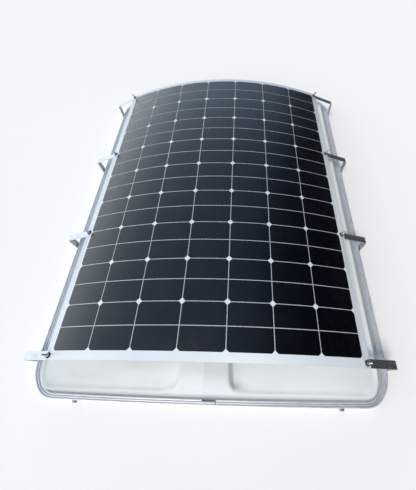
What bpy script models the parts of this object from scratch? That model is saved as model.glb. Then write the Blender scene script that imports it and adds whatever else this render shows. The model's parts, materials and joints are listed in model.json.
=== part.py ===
"""Flexible solar sheet, bowed over a moulded roof shell and held to the shell's rim by bent brackets.

Frame: X to the right, Y to the rear, Z up, metres. The origin is in the middle of the whole
object's footprint, on the surface that the bracket lips stand on. The pieces are modelled about
the middle of the sheet, and move to that origin at the end.
"""

import math

import bmesh
import bpy
from mathutils import Matrix, Vector

# ---------------------------------------------------------------------------------------------
# Driving dimensions, in metres
# ---------------------------------------------------------------------------------------------
clearance = 0.0003

# the sheet: a laminate bent round an axis along Y
edge_height = 0.1451
bow_radius = 1.584
side_margin = 0.0276
front_margin = 0.030
rear_margin = 0.022

# the solar cells
cell_columns = 7
cell_rows = 9
cell_size = 0.15675
cell_gap = 0.00325
cell_corner = 0.010
facets_per_column = 2
layer_hole_reach = 0.006

# the laminate's layers, from the top down
film_thickness = 0.0004
cell_thickness = 0.0003
back_sheet_thickness = 0.0014

# ribbons round the cells, in the cells' plane
ribbon_width = 0.003
ribbon_lane_gap = 0.003
ribbon_start = 0.002
finger_width = 0.012
ribbon_leg_thickness = 0.0012
ribbon_leg_lap = 0.007

# bolts that hold the sheet to its brackets
bolt_radius = 0.004
bolt_head_across_flats = 0.013
bolt_head_height = 0.0055
bolt_projection = 0.026
bolt_tip_chamfer = 0.0008
bolt_hole_play = 0.0010
bolt_edge_distance = 0.013
inner_bolt_rows = 1.5
washer_radius = 0.010
washer_thickness = 0.0025
nut_across_flats = 0.013
nut_height = 0.0068
nut_chamfer = 0.0008
nut_play = 0.0006

# brackets of flat bar
bracket_width = 0.030
bracket_thickness = 0.003
bracket_bend_radius = 0.004
bracket_inner_reach = 0.014
bracket_lip_reach = 0.018
bracket_to_rim = 0.0028

# roof shell and its rim
rim_side_overhang = 0.1073
rim_end_overhang = 0.120
rim_end_bow = 0.009
rim_corner_width = 0.100
rim_corner_length = 0.130
rim_height = 0.025
rim_wall = 0.003
rim_floor = 0.0025
rim_depth = 0.024
rim_lip_reach = 0.020
rim_lip_underside = 0.010
rim_rib_count = 3
rim_rib_step = 0.0030
rim_groove = 0.0015
rim_joint_offset = 0.035
rim_joint_gap = 0.0036
rim_notch_length = 0.050
gasket_thickness = 0.0026
gasket_overhang = 0.0008
shell_thickness = 0.004
shell_edge_play = 0.0012
shell_wall_play = 0.0022
shell_side_run = 0.0375
shell_end_run = 0.0125
shell_shoulder_height = 0.074
shell_end_slope = 0.118
panel_slope_power = 2.4
spine_slope_power = 5
panel_height = 0.112
panel_edge_height = 0.0705
panel_lip_run = 0.011
spine_height = 0.132
spine_peak_height = 0.142
spine_half_width = 0.0795
spine_side_run = 0.023
spine_flare = 0.004

# bolts in the front of the rim
rim_bolt_offset = 0.492
rim_bolt_radius = 0.003
rim_bolt_depth = 0.008
rim_bolt_head_across_flats = 0.017
rim_bolt_head_height = 0.0085
rim_bolt_height = 0.0140
rim_bolt_chamfer = 0.0008

# junction box under the rear of the sheet
box_width = 0.110
box_length = 0.090
box_height = 0.022
box_wall = 0.0025
box_edge_distance = 0.0075
box_pad_thickness = 0.0015
box_cover_thickness = 0.003
box_cover_recess = 0.001
box_gasket_thickness = 0.0015
box_gasket_width = 0.004
box_gasket_inset = 0.0008
slot_width = 0.056
slot_length = 0.0060
gland_spacing = 0.044
gland_radius = 0.0075
gland_bore_radius = 0.0034
gland_length = 0.016
gland_hexagon_height = 0.005
gland_nose_height = 0.003
gland_nose_radius = 0.00525
gland_thread_radius = 0.0058
gland_thread_reach = 0.002
gland_floor_distance = 0.002
terminal_size = Vector((0.076, 0.014, 0.008))
terminal_slot_distance = 0.002
diode_count = 3
diode_spacing = 0.026
diode_radius = 0.0040
diode_length = 0.0095
diode_terminal_distance = 0.006
diode_top_distance = 0.001
output_ribbon_width = 0.004
output_ribbon_spacing = 0.016

# ---------------------------------------------------------------------------------------------
# Sizes that follow from them
# ---------------------------------------------------------------------------------------------
cell_pitch = cell_size + cell_gap
half_cell_pitch = cell_size / 2 + cell_gap
cells_half_width = cell_columns * cell_pitch / 2 - cell_gap / 2
cells_half_length = cell_rows * half_cell_pitch - cell_gap / 2
sheet_half_width = cells_half_width + side_margin
sheet_front = -cells_half_length - front_margin
sheet_rear = cells_half_length + rear_margin
sheet_half_angle = sheet_half_width / bow_radius
crown_height = edge_height + bow_radius * (1 - math.cos(sheet_half_angle))

cell_depth = film_thickness + clearance
back_sheet_depth = cell_depth + cell_thickness + clearance
sheet_thickness = back_sheet_depth + back_sheet_thickness

bolt_arc = sheet_half_width - bolt_edge_distance
bolt_hole_radius = bolt_radius + bolt_hole_play
nut_bore_radius = bolt_radius + nut_play
inner_station = inner_bolt_rows * 2 * half_cell_pitch
bolt_stations = (
    sheet_front + bracket_width / 2,
    -inner_station,
    inner_station,
    sheet_rear - bracket_width / 2,
)

rim_half_width = bow_radius * math.sin(sheet_half_angle) + rim_side_overhang
rim_half_length = -sheet_front + rim_end_overhang
rim_bottom = bracket_thickness + clearance
leg_inner_face = rim_half_width + bracket_to_rim
shell_flange_top = rim_bottom + rim_floor + clearance + shell_thickness
shell_wall_offset = rim_lip_reach + shell_wall_play

box_rear = sheet_rear - box_edge_distance
box_centre_y = box_rear - box_length / 2
lane_1 = ribbon_start
lane_2 = lane_1 + ribbon_width + ribbon_lane_gap
seal_side_gap = ribbon_start + ribbon_width + 2 * clearance
seal_end_gap = lane_2 + ribbon_width + 2 * clearance
output_lane_y = cells_half_length + lane_2 + ribbon_width / 2

# ---------------------------------------------------------------------------------------------
# Start from an empty scene
# ---------------------------------------------------------------------------------------------
for old_object in list(bpy.data.objects):
    bpy.data.objects.remove(old_object, do_unlink=True)


def make_material(name, colour, roughness, metallic=0.0):
    """A plain Principled finish."""
    finish = bpy.data.materials.new(name)
    finish.use_nodes = True
    shader = finish.node_tree.nodes["Principled BSDF"]
    shader.inputs["Base Color"].default_value = (*colour, 1.0)
    shader.inputs["Roughness"].default_value = roughness
    shader.inputs["Metallic"].default_value = metallic
    finish.diffuse_color = (*colour, 1.0)
    return finish


clear_film = make_material("clear_film", (0.80, 0.84, 0.88), 0.25)
white_laminate = make_material("white_laminate", (0.82, 0.86, 0.90), 0.45)
black_silicon = make_material("black_silicon", (0.010, 0.012, 0.020), 0.22)
tinned_copper = make_material("tinned_copper", (0.70, 0.70, 0.68), 0.35, 1.0)
bright_aluminium = make_material("bright_aluminium", (0.78, 0.80, 0.82), 0.35, 1.0)
anodised_rim = make_material("anodised_rim", (0.62, 0.66, 0.70), 0.40, 1.0)
zinc_steel = make_material("zinc_steel", (0.60, 0.60, 0.60), 0.30, 1.0)
black_rubber = make_material("black_rubber", (0.015, 0.016, 0.018), 0.75)
grey_sealant = make_material("grey_sealant", (0.30, 0.31, 0.31), 0.70)
black_plastic = make_material("black_plastic", (0.020, 0.021, 0.023), 0.50)
terminal_plastic = make_material("terminal_plastic", (0.30, 0.32, 0.30), 0.55)
white_moulding = make_material("white_moulding", (0.78, 0.80, 0.80), 0.30)


def finish_object(name, bm, material, sharp_angle=30.0, location=(0, 0, 0), rotation=(0, 0, 0)):
    """Turn a bmesh into a named object with outward normals and smooth round faces."""
    bmesh.ops.recalc_face_normals(bm, faces=bm.faces)
    mesh = bpy.data.meshes.new(name)
    bm.to_mesh(mesh)
    bm.free()
    mesh.materials.append(material)
    mesh.shade_smooth()
    mesh.set_sharp_from_angle(angle=math.radians(sharp_angle))
    made = bpy.data.objects.new(name, mesh)
    made.location = location
    made.rotation_euler = rotation
    bpy.context.scene.collection.objects.link(made)
    return made


def cut(target, cutter):
    """Take the cutter's volume out of the target."""
    cutter.hide_render = True
    cutter.display_type = "WIRE"
    modifier = target.modifiers.new("cut_" + cutter.name, "BOOLEAN")
    modifier.operation = "DIFFERENCE"
    modifier.object = cutter


# ---------------------------------------------------------------------------------------------
# Shapes used by several pieces
# ---------------------------------------------------------------------------------------------
def round_section(radius):
    """Radius of a circle in any direction."""
    return lambda angle: radius


def hex_section(across_flats):
    """Radius of a hexagon in any direction, with a corner at angle zero."""
    def radius(angle):
        from_flat = (angle % (math.pi / 3)) - math.pi / 6
        return across_flats / 2 / math.cos(from_flat)
    return radius


def add_ring(bm, section, height, steps, matrix):
    """One loop of points at a height."""
    ring = []
    for step in range(steps):
        angle = 2 * math.pi * step / steps
        radius = section(angle)
        point = Vector((radius * math.cos(angle), radius * math.sin(angle), height))
        ring.append(bm.verts.new(matrix @ point))
    return ring


def bridge(bm, lower, upper):
    """Quads between two loops of equal length."""
    count = len(lower)
    for index in range(count):
        following = (index + 1) % count
        bm.faces.new((lower[index], lower[following], upper[following], upper[index]))


def add_turned_solid(bm, stages, steps=12, matrix=Matrix()):
    """A closed solid from a stack of (section, height) stages."""
    rings = [add_ring(bm, section, height, steps, matrix) for section, height in stages]
    for lower, upper in zip(rings, rings[1:]):
        bridge(bm, lower, upper)
    bm.faces.new(list(reversed(rings[0])))
    bm.faces.new(rings[-1])


def add_bored_solid(bm, outer_stages, bore_radius, steps=12, matrix=Matrix()):
    """A stack of (section, height) stages with a round bore right through."""
    bore = round_section(bore_radius)
    stages = outer_stages + [(bore, outer_stages[-1][1]), (bore, outer_stages[0][1])]
    rings = [add_ring(bm, section, height, steps, matrix) for section, height in stages]
    for lower, upper in zip(rings, rings[1:] + rings[:1]):
        bridge(bm, lower, upper)


def add_box(bm, low, high, matrix=Matrix()):
    """A rectangular block between two corners."""
    size = Vector(high) - Vector(low)
    middle = (Vector(high) + Vector(low)) / 2
    shape = matrix @ Matrix.Translation(middle) @ Matrix.Diagonal((*size, 1.0))
    bmesh.ops.create_cube(bm, size=1.0, matrix=shape)


def add_prism(bm, outline, start, end, to_point):
    """Extrude a closed outline between two stations; to_point places (a, b, station)."""
    first = [bm.verts.new(to_point(a, b, start)) for a, b in outline]
    last = [bm.verts.new(to_point(a, b, end)) for a, b in outline]
    bridge(bm, first, last)
    bm.faces.new(list(reversed(first)))
    bm.faces.new(last)


# ---------------------------------------------------------------------------------------------
# The bowed surface of the sheet
# ---------------------------------------------------------------------------------------------
def facet_lines():
    """Arc lengths at which the bowed surface is creased into flat facets."""
    count = cell_columns * facets_per_column
    inner = [(index / count - 0.5) * cell_columns * cell_pitch for index in range(count + 1)]
    return [-sheet_half_width] + inner + [sheet_half_width]


bow_lines = facet_lines()


def bow_vertex(arc, depth):
    """Point on the true arc, at a depth under the sheet's top face."""
    angle = arc / bow_radius
    radius = bow_radius - depth
    return radius * math.sin(angle), radius * math.cos(angle) - bow_radius + crown_height


def on_bow(arc, depth):
    """Point on the faceted surface, so that every layer keeps an even gap to the next."""
    for start, end in zip(bow_lines, bow_lines[1:]):
        if arc <= end:
            break
    share = (arc - start) / (end - start)
    x_start, z_start = bow_vertex(start, depth)
    x_end, z_end = bow_vertex(end, depth)
    return x_start + share * (x_end - x_start), z_start + share * (z_end - z_start)


def with_bow_lines(arcs):
    """Add the crease lines that fall between the first and last arc."""
    inside = [line for line in bow_lines if min(arcs) + 1e-6 < line < max(arcs) - 1e-6]
    merged = sorted(arcs)
    for line in inside:
        if min(abs(line - arc) for arc in merged) > 1e-6:
            merged.append(line)
    return sorted(merged)


def add_lattice(bm, arcs, row_count, length_at, keep, depth, thickness):
    """A solid layer of the sheet from the patches (i, j) of a lattice for which keep is true."""
    top = {}
    bottom = {}

    def corner(store, i, j, level):
        if (i, j) not in store:
            x, z = on_bow(arcs[i], level)
            store[(i, j)] = bm.verts.new((x, length_at(i, j), z))
        return store[(i, j)]

    def kept(i, j):
        return 0 <= i < len(arcs) - 1 and 0 <= j < row_count - 1 and keep(i, j)

    for i in range(len(arcs) - 1):
        for j in range(row_count - 1):
            if not kept(i, j):
                continue
            patch = [(i, j), (i + 1, j), (i + 1, j + 1), (i, j + 1)]
            upper = [corner(top, a, b, depth) for a, b in patch]
            lower = [corner(bottom, a, b, depth + thickness) for a, b in patch]
            bm.faces.new(upper)
            bm.faces.new(list(reversed(lower)))
            neighbours = [(i, j - 1), (i + 1, j), (i, j + 1), (i - 1, j)]
            for side, (a, b) in enumerate(neighbours):
                if not kept(a, b):
                    after = (side + 1) % 4
                    bm.faces.new((upper[after], upper[side], lower[side], lower[after]))


def add_sheet_layer(bm, arcs, lengths, depth, thickness, keep):
    """A solid layer of the sheet, made of the patches for which keep(arc, y) is true."""
    arcs = with_bow_lines(arcs)
    lengths = sorted(lengths)

    def keep_patch(i, j):
        return keep((arcs[i] + arcs[i + 1]) / 2, (lengths[j] + lengths[j + 1]) / 2)

    add_lattice(bm, arcs, len(lengths), lambda i, j: lengths[j], keep_patch, depth, thickness)


def everywhere(arc, y):
    """Keep every patch."""
    return True


def bolt_frame(side, y):
    """Frame of a bolt: origin on the sheet's top face, Z out along the bolt; side is -1 or 1."""
    x, z = on_bow(bolt_arc, 0.0)
    x_inner, z_inner = bow_vertex(cell_columns * cell_pitch / 2, 0.0)
    x_outer, z_outer = bow_vertex(sheet_half_width, 0.0)
    tilt = math.atan2(z_inner - z_outer, x_outer - x_inner)
    return Vector((side * x, y, z)), side * tilt


def bolt_places():
    """Side, number from the front, and station of each of the bolts."""
    for side in (-1, 1):
        for number, y in enumerate(bolt_stations, start=1):
            yield side, number, y


def side_name(side):
    return "left" if side < 0 else "right"


def bolt_matrix(side, y):
    origin, tilt = bolt_frame(side, y)
    return Matrix.Translation(origin) @ Matrix.Rotation(tilt, 4, "Y")


# ---------------------------------------------------------------------------------------------
# Sheet
# ---------------------------------------------------------------------------------------------
def cut_bolt_holes(target):
    """Holes through a layer of the sheet for all the bolts."""
    bm = bmesh.new()
    hole = round_section(bolt_hole_radius)
    for side, number, y in bolt_places():
        stages = [(hole, -layer_hole_reach), (hole, layer_hole_reach)]
        add_turned_solid(bm, stages, 12, bolt_matrix(side, y))
    cut(target, finish_object("hole_cutter_" + target.name, bm, zinc_steel))


def make_front_film():
    bm = bmesh.new()
    arcs = [-sheet_half_width, sheet_half_width]
    add_sheet_layer(bm, arcs, [sheet_front, sheet_rear], 0.0, film_thickness, everywhere)
    cut_bolt_holes(finish_object("front_film", bm, clear_film))


def make_edge_seal():
    """White border in the cells' plane, from outside the ribbons to the sheet's edge."""
    inner_arc = cells_half_width + seal_side_gap
    inner_y = cells_half_length + seal_end_gap

    def in_border(arc, y):
        return abs(arc) > inner_arc or abs(y) > inner_y

    bm = bmesh.new()
    arcs = [-sheet_half_width, -inner_arc, inner_arc, sheet_half_width]
    lengths = [sheet_front, -inner_y, inner_y, sheet_rear]
    add_sheet_layer(bm, arcs, lengths, cell_depth, cell_thickness, in_border)
    cut_bolt_holes(finish_object("edge_seal", bm, white_laminate))


def make_back_sheet():
    bm = bmesh.new()
    arcs = [-sheet_half_width, sheet_half_width]
    lengths = [sheet_front, sheet_rear]
    add_sheet_layer(bm, arcs, lengths, back_sheet_depth, back_sheet_thickness, everywhere)
    back_sheet = finish_object("back_sheet", bm, white_laminate)
    cut_bolt_holes(back_sheet)
    cut(back_sheet, ribbon_slot_cutter("back_sheet_slot_cutter"))


def ribbon_slot_cutter(name):
    """The slot that the output ribbons pass down through, into the junction box."""
    bm = bmesh.new()
    low = (-slot_width / 2, output_lane_y - slot_length / 2, box_top - 2 * box_wall)
    high = (slot_width / 2, output_lane_y + slot_length / 2, crown_height - cell_depth - cell_thickness)
    add_box(bm, low, high)
    return finish_object(name, bm, zinc_steel)


def column_centre(column):
    return (column - (cell_columns - 1) / 2) * cell_pitch


def make_cell_string(column):
    """A column of half cells with the tabs between them and the ribbon to the next column.

    Each half cell has its two cut corners on the full cell's outer edge. The strings run to and
    fro: even columns are joined to the next one at the front, odd columns at the rear.
    """
    centre = column_centre(column)
    left = centre - cell_size / 2
    right = centre + cell_size / 2
    arcs = [left, left + cell_corner, centre, right - cell_corner, right]
    last_column = column == cell_columns - 1
    if not last_column:
        following = column_centre(column + 1)
        arcs += [centre + cell_pitch / 2, following, following + finger_width]
    cell_strips = (0, 1, 2, 3)
    corner_lines = (0, 4)
    tab_strip = 2
    receiving_strip = 6

    edges = []
    for half_row in range(2 * cell_rows):
        front = -cells_half_length + half_row * half_cell_pitch
        edges += [front, front + cell_size / 2]
    at_front = column % 2 == 0
    joint_lines = [clearance, lane_1, lane_1 + ribbon_width]
    if at_front:
        lengths = [edges[0] - line for line in reversed(joint_lines)] + edges
        lane_row = 0
        finger_rows = (1, 2)
        first_edge = len(joint_lines)
    else:
        lengths = edges + [edges[-1] + line for line in joint_lines]
        lane_row = len(lengths) - 2
        finger_rows = (lane_row - 1, lane_row - 2)
        first_edge = 0
    receiving_row = finger_rows[0]

    def length_at(i, j):
        edge = j - first_edge
        if i not in corner_lines or not 0 <= edge < len(edges):
            return lengths[j]
        half_row = edge // 2
        if half_row % 2 == 0 and edge % 2 == 0:
            return lengths[j] + cell_corner
        if half_row % 2 == 1 and edge % 2 == 1:
            return lengths[j] - cell_corner
        return lengths[j]

    def keep(i, j):
        edge = j - first_edge
        if 0 <= edge < len(edges) - 1:
            return i in cell_strips and (edge % 2 == 0 or i == tab_strip)
        if last_column:
            return False
        if j == lane_row:
            return i >= tab_strip
        if j == receiving_row and i == receiving_strip:
            return True
        return j in finger_rows and i == tab_strip

    bm = bmesh.new()
    add_lattice(bm, arcs, len(lengths), length_at, keep, cell_depth, cell_thickness)
    finish_object("cell_string_%d" % (column + 1), bm, black_silicon)


def join_drop(ribbon, side):
    """Add the leg that goes down through the slot to the terminal block."""
    x, z = on_bow(side * output_ribbon_spacing, cell_depth + cell_thickness / 2)
    half_thickness = ribbon_leg_thickness / 2
    bottom = terminal_top - ribbon_leg_lap
    low = (x - output_ribbon_width / 2, output_lane_y - half_thickness, bottom)
    high = (x + output_ribbon_width / 2, output_lane_y + half_thickness, z)
    bm = bmesh.new()
    add_box(bm, low, high)
    drop = finish_object("drop_of_" + ribbon.name, bm, tinned_copper)
    drop.hide_render = True
    drop.display_type = "WIRE"
    union = ribbon.modifiers.new("leg", "BOOLEAN")
    union.operation = "UNION"
    union.object = drop


def make_output_ribbon():
    """From the first column's rear end, along the rear margin, down into the junction box."""
    first = column_centre(0)
    edge = cells_half_length
    end_arc = output_ribbon_width - output_ribbon_spacing
    arcs = [first, first + finger_width, end_arc]
    lengths = [edge + clearance, edge + lane_2, edge + lane_2 + ribbon_width]

    def in_route(arc, y):
        return y > edge + lane_2 or arc < first + finger_width

    bm = bmesh.new()
    add_sheet_layer(bm, arcs, lengths, cell_depth, cell_thickness, in_route)
    join_drop(finish_object("output_ribbon", bm, tinned_copper), -1)


def make_return_ribbon():
    """From the last column's front end, along the right margin, back to the junction box."""
    first = column_centre(cell_columns - 1)
    side_arc = cells_half_width + ribbon_start
    edge = cells_half_length
    end_arc = output_ribbon_spacing - output_ribbon_width
    arcs = [end_arc, first, first + finger_width, side_arc, side_arc + ribbon_width]
    front_lane = -edge - lane_1
    lengths = [front_lane - ribbon_width, front_lane, -edge - clearance]
    lengths += [edge + lane_2, edge + lane_2 + ribbon_width]

    def in_route(arc, y):
        if arc > side_arc or y > edge + lane_2:
            return True
        if y < front_lane:
            return arc > first
        return y < -edge and first < arc < first + finger_width

    bm = bmesh.new()
    add_sheet_layer(bm, arcs, lengths, cell_depth, cell_thickness, in_route)
    join_drop(finish_object("return_ribbon", bm, tinned_copper), 1)


# ---------------------------------------------------------------------------------------------
# Junction box
# ---------------------------------------------------------------------------------------------
box_half_angle_drop = on_bow(0.0, sheet_thickness)[1] - on_bow(box_width / 2, sheet_thickness)[1]
box_pad_top = crown_height - sheet_thickness - clearance
box_top = box_pad_top - box_half_angle_drop - box_pad_thickness - clearance
box_bottom = box_top - box_height
box_cover_top = box_bottom - box_gasket_thickness - 2 * clearance
terminal_rear = output_lane_y - slot_length / 2 - terminal_slot_distance
terminal_top = box_top - box_wall - clearance


def add_box_block(bm, inset, low_z, high_z):
    """A block with the junction box's outline, moved in by inset."""
    half_x = box_width / 2 - inset
    half_y = box_length / 2 - inset
    low = (-half_x, box_centre_y - half_y, low_z)
    high = (half_x, box_centre_y + half_y, high_z)
    add_box(bm, low, high)


def make_junction_pad():
    """Adhesive pad: its top follows the bow and its underside is flat."""
    edge_x, edge_z = on_bow(box_width / 2, sheet_thickness + clearance)
    flat = box_top + clearance
    outline = [(-edge_x, flat), (edge_x, flat), (edge_x, edge_z)]
    outline += [(0.0, on_bow(0.0, sheet_thickness + clearance)[1]), (-edge_x, edge_z)]
    bm = bmesh.new()
    ends = (box_centre_y - box_length / 2, box_centre_y + box_length / 2)
    add_prism(bm, outline, ends[0], ends[1], lambda a, b, y: Vector((a, y, b)))
    pad = finish_object("junction_pad", bm, black_rubber)
    cut(pad, ribbon_slot_cutter("pad_slot_cutter"))


def make_junction_body():
    """Tray that opens downwards."""
    bm = bmesh.new()
    add_box_block(bm, 0.0, box_bottom, box_top)
    body = finish_object("junction_body", bm, black_plastic)
    cavity = bmesh.new()
    add_box_block(cavity, box_wall, box_bottom - box_wall, box_top - box_wall)
    cut(body, finish_object("junction_cavity_cutter", cavity, black_plastic))
    cut(body, ribbon_slot_cutter("body_slot_cutter"))
    cut(body, gland_hole_cutter())


def make_junction_gasket():
    """Seal between the tray's rim and the cover."""
    bm = bmesh.new()
    low = box_cover_top + clearance
    high = box_bottom - clearance
    add_box_block(bm, box_gasket_inset, low, high)
    gasket = finish_object("junction_gasket", bm, black_rubber)
    hollow = bmesh.new()
    add_box_block(hollow, box_gasket_width, low - clearance, high + clearance)
    cut(gasket, finish_object("gasket_cutter", hollow, black_rubber))


def make_junction_cover():
    """Cover that clips on from below: a plate with a shallow recess inside the gasket."""
    bm = bmesh.new()
    add_box_block(bm, 0.0, box_cover_top - box_cover_thickness, box_cover_top)
    cover = finish_object("junction_cover", bm, black_plastic)
    recess = bmesh.new()
    inset = box_gasket_width + box_wall
    add_box_block(recess, inset, box_cover_top - box_cover_recess, box_cover_top + box_cover_recess)
    cut(cover, finish_object("cover_recess_cutter", recess, black_plastic))


def make_terminal_block():
    bm = bmesh.new()
    low = (-terminal_size.x / 2, terminal_rear - terminal_size.y, terminal_top - terminal_size.z)
    high = (terminal_size.x / 2, terminal_rear, terminal_top)
    add_box(bm, low, high)
    finish_object("terminal_block", bm, terminal_plastic)


def make_bypass_diodes():
    """Axial diodes in a row in front of the terminal block."""
    can = round_section(diode_radius)
    y = terminal_rear - terminal_size.y - diode_radius - diode_terminal_distance
    z = terminal_top - diode_radius - diode_top_distance
    for index in range(diode_count):
        bm = bmesh.new()
        x = (index - (diode_count - 1) / 2) * diode_spacing
        along_x = Matrix.Translation((x, y, z)) @ Matrix.Rotation(math.pi / 2, 4, "Y")
        stages = [(can, -diode_length / 2), (can, diode_length / 2)]
        add_turned_solid(bm, stages, 12, along_x)
        finish_object("bypass_diode_%d" % (index + 1), bm, black_plastic)


gland_height = box_bottom + gland_radius + gland_floor_distance


def gland_matrix(side):
    """Frame of a gland in the box's front wall, Z pointing out of the box."""
    wall = Vector((side * gland_spacing / 2, box_centre_y - box_length / 2, gland_height))
    return Matrix.Translation(wall) @ Matrix.Rotation(math.pi / 2, 4, "X")


def gland_hole_cutter():
    bm = bmesh.new()
    hole = round_section(gland_thread_radius + clearance)
    for side in (-1, 1):
        stages = [(hole, -2 * box_wall), (hole, box_wall)]
        add_turned_solid(bm, stages, 12, gland_matrix(side))
    return finish_object("gland_hole_cutter", bm, black_plastic)


def make_glands():
    """Cable glands, empty: thread through the wall, hexagon and round cap."""
    for side in (-1, 1):
        bm = bmesh.new()
        thread = round_section(gland_thread_radius)
        across_flats = 2 * gland_radius * math.cos(math.pi / 6)
        cap = round_section(across_flats / 2)
        hexagon = hex_section(across_flats)
        nose = round_section(gland_nose_radius)
        stages = [(thread, -box_wall - gland_thread_reach), (thread, clearance)]
        stages += [(hexagon, clearance), (hexagon, gland_hexagon_height), (cap, gland_hexagon_height)]
        stages += [(cap, gland_length - gland_nose_height), (nose, gland_length)]
        add_bored_solid(bm, stages, gland_bore_radius, 12, gland_matrix(side))
        finish_object("cable_gland_" + side_name(side), bm, black_plastic)


# ---------------------------------------------------------------------------------------------
# Brackets and their fasteners
# ---------------------------------------------------------------------------------------------
def fillet_path(corners, radius, steps=4):
    """Replace each inner corner of a path by an arc."""
    path = [corners[0]]
    for before, corner, after in zip(corners, corners[1:], corners[2:]):
        inward = (before - corner).normalized()
        outward = (after - corner).normalized()
        half_angle = inward.angle(outward) / 2
        centre = corner + (inward + outward).normalized() * radius / math.sin(half_angle)
        start = (corner + inward * radius / math.tan(half_angle) - centre).normalized()
        end = (corner + outward * radius / math.tan(half_angle) - centre).normalized()
        for step in range(steps + 1):
            path.append(centre + start.slerp(end, step / steps) * radius)
    path.append(corners[-1])
    return path


def thicken_path(path, thickness):
    """Closed outline of a bar that follows a path in the X-Z plane."""
    one_side = []
    other_side = []
    for index, point in enumerate(path):
        before = path[max(index - 1, 0)]
        after = path[min(index + 1, len(path) - 1)]
        along_in = (point - before).normalized() if index > 0 else (after - point).normalized()
        along_out = (after - point).normalized() if index < len(path) - 1 else along_in
        along = (along_in + along_out).normalized()
        across = Vector((-along.y, along.x))
        half = thickness / 2 / max(across.dot(Vector((-along_out.y, along_out.x))), 0.5)
        one_side.append(point + across * half)
        other_side.append(point - across * half)
    return one_side + list(reversed(other_side))


def bracket_centre_line():
    """Middle of the bar's thickness, seen from the front, for a bracket on the right."""
    origin, tilt = bolt_frame(1, 0.0)
    along = Vector((math.cos(tilt), -math.sin(tilt)))
    under_sheet = sheet_thickness + clearance + bracket_thickness / 2
    under_bolt = Vector((origin.x, origin.z)) - Vector((math.sin(tilt), math.cos(tilt))) * under_sheet
    leg_x = leg_inner_face + bracket_thickness / 2
    to_leg = (leg_x - under_bolt.x) / along.x
    lip_z = bracket_thickness / 2
    return [
        under_bolt - along * bracket_inner_reach,
        under_bolt + along * to_leg,
        Vector((leg_x, lip_z)),
        Vector((leg_inner_face - bracket_lip_reach, lip_z)),
    ]


def make_bracket(side, number, y):
    """Flat bar: a leg under the sheet's edge, an upright outside the rim and a lip under it."""
    centre_radius = bracket_bend_radius + bracket_thickness / 2
    path = fillet_path(bracket_centre_line(), centre_radius)
    outline = [(point.x * side, point.y) for point in thicken_path(path, bracket_thickness)]
    bm = bmesh.new()
    start = y - bracket_width / 2
    end = y + bracket_width / 2
    add_prism(bm, outline, start, end, lambda a, b, station: Vector((a, station, b)))
    name = "bracket_%s_%d" % (side_name(side), number)
    bracket = finish_object(name, bm, bright_aluminium)

    hole = round_section(bolt_hole_radius)
    cutter = bmesh.new()
    under_bracket = sheet_thickness + clearance + 2 * bracket_thickness
    add_turned_solid(cutter, [(hole, -under_bracket), (hole, 0.0)], 12, bolt_matrix(side, y))
    cut(bracket, finish_object("hole_cutter_" + name, cutter, zinc_steel))


def make_bracket_bolt(side, number, y):
    """Hexagon head bolt, its head under the bracket and its threaded end standing up."""
    head = hex_section(bolt_head_across_flats)
    shank = round_section(bolt_radius)
    tip = round_section(bolt_radius - bolt_tip_chamfer)
    seat = -(sheet_thickness + 2 * clearance + bracket_thickness)
    stages = [(head, seat - bolt_head_height), (head, seat), (shank, seat)]
    stages += [(shank, bolt_projection - bolt_tip_chamfer), (tip, bolt_projection)]
    bm = bmesh.new()
    add_turned_solid(bm, stages, 12)
    origin, tilt = bolt_frame(side, y)
    name = "bolt_%s_%d" % (side_name(side), number)
    finish_object(name, bm, zinc_steel, location=origin, rotation=(0, tilt, 0))


def make_washer(side, number, y):
    """Rubber faced sealing washer on the sheet's top face."""
    rim = round_section(washer_radius)
    stages = [(rim, clearance), (rim, clearance + washer_thickness)]
    bm = bmesh.new()
    add_bored_solid(bm, stages, nut_bore_radius, 12)
    origin, tilt = bolt_frame(side, y)
    name = "washer_%s_%d" % (side_name(side), number)
    finish_object(name, bm, black_rubber, location=origin, rotation=(0, tilt, 0))


def make_nut(side, number, y):
    """Hexagon nut, its origin on the bolt's axis."""
    bm = bmesh.new()
    flats = hex_section(nut_across_flats)
    corner_circle = round_section(nut_across_flats / 2)
    low = washer_thickness + 2 * clearance
    high = low + nut_height
    stages = [(corner_circle, low), (flats, low + nut_chamfer)]
    stages += [(flats, high - nut_chamfer), (corner_circle, high)]
    add_bored_solid(bm, stages, nut_bore_radius, 12)
    origin, tilt = bolt_frame(side, y)
    name = "nut_%s_%d" % (side_name(side), number)
    finish_object(name, bm, zinc_steel, location=origin, rotation=(0, tilt, 0))


# ---------------------------------------------------------------------------------------------
# Roof shell
# ---------------------------------------------------------------------------------------------
corner_centre_x = rim_half_width - rim_corner_width
corner_centre_y = rim_half_length - rim_corner_length
wall_foot_x = rim_half_width - shell_wall_offset
wall_foot_y = rim_half_length - shell_wall_offset
shoulder_x = wall_foot_x - shell_side_run
shoulder_y = wall_foot_y - shell_end_run
flange_x = rim_half_width - rim_wall - shell_edge_play
flange_y = rim_half_length - rim_wall - shell_edge_play


def shell_levels():
    """(x, y, z) of each level line outside the corner centres; z is None on the roof's top."""
    rise = shell_shoulder_height - shell_flange_top

    def on_wall(side_share, end_share, fall_share):
        x = shoulder_x + side_share * shell_side_run
        y = shoulder_y + end_share * shell_end_run
        return x, y, shell_shoulder_height - fall_share * rise

    lip_foot_x = shoulder_x - panel_lip_run
    lip_foot_y = shoulder_y - panel_lip_run
    return [
        (corner_centre_x, corner_centre_y, None),
        ((corner_centre_x + lip_foot_x) / 2, (corner_centre_y + lip_foot_y) / 2, None),
        (lip_foot_x, lip_foot_y, None),
        on_wall(0.0, 0.0, 0.0),
        on_wall(0.22, 0.35, 0.13),
        on_wall(0.90, 0.88, 0.88),
        on_wall(1.0, 1.0, 1.0),
        (flange_x, flange_y, shell_flange_top),
    ]


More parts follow.
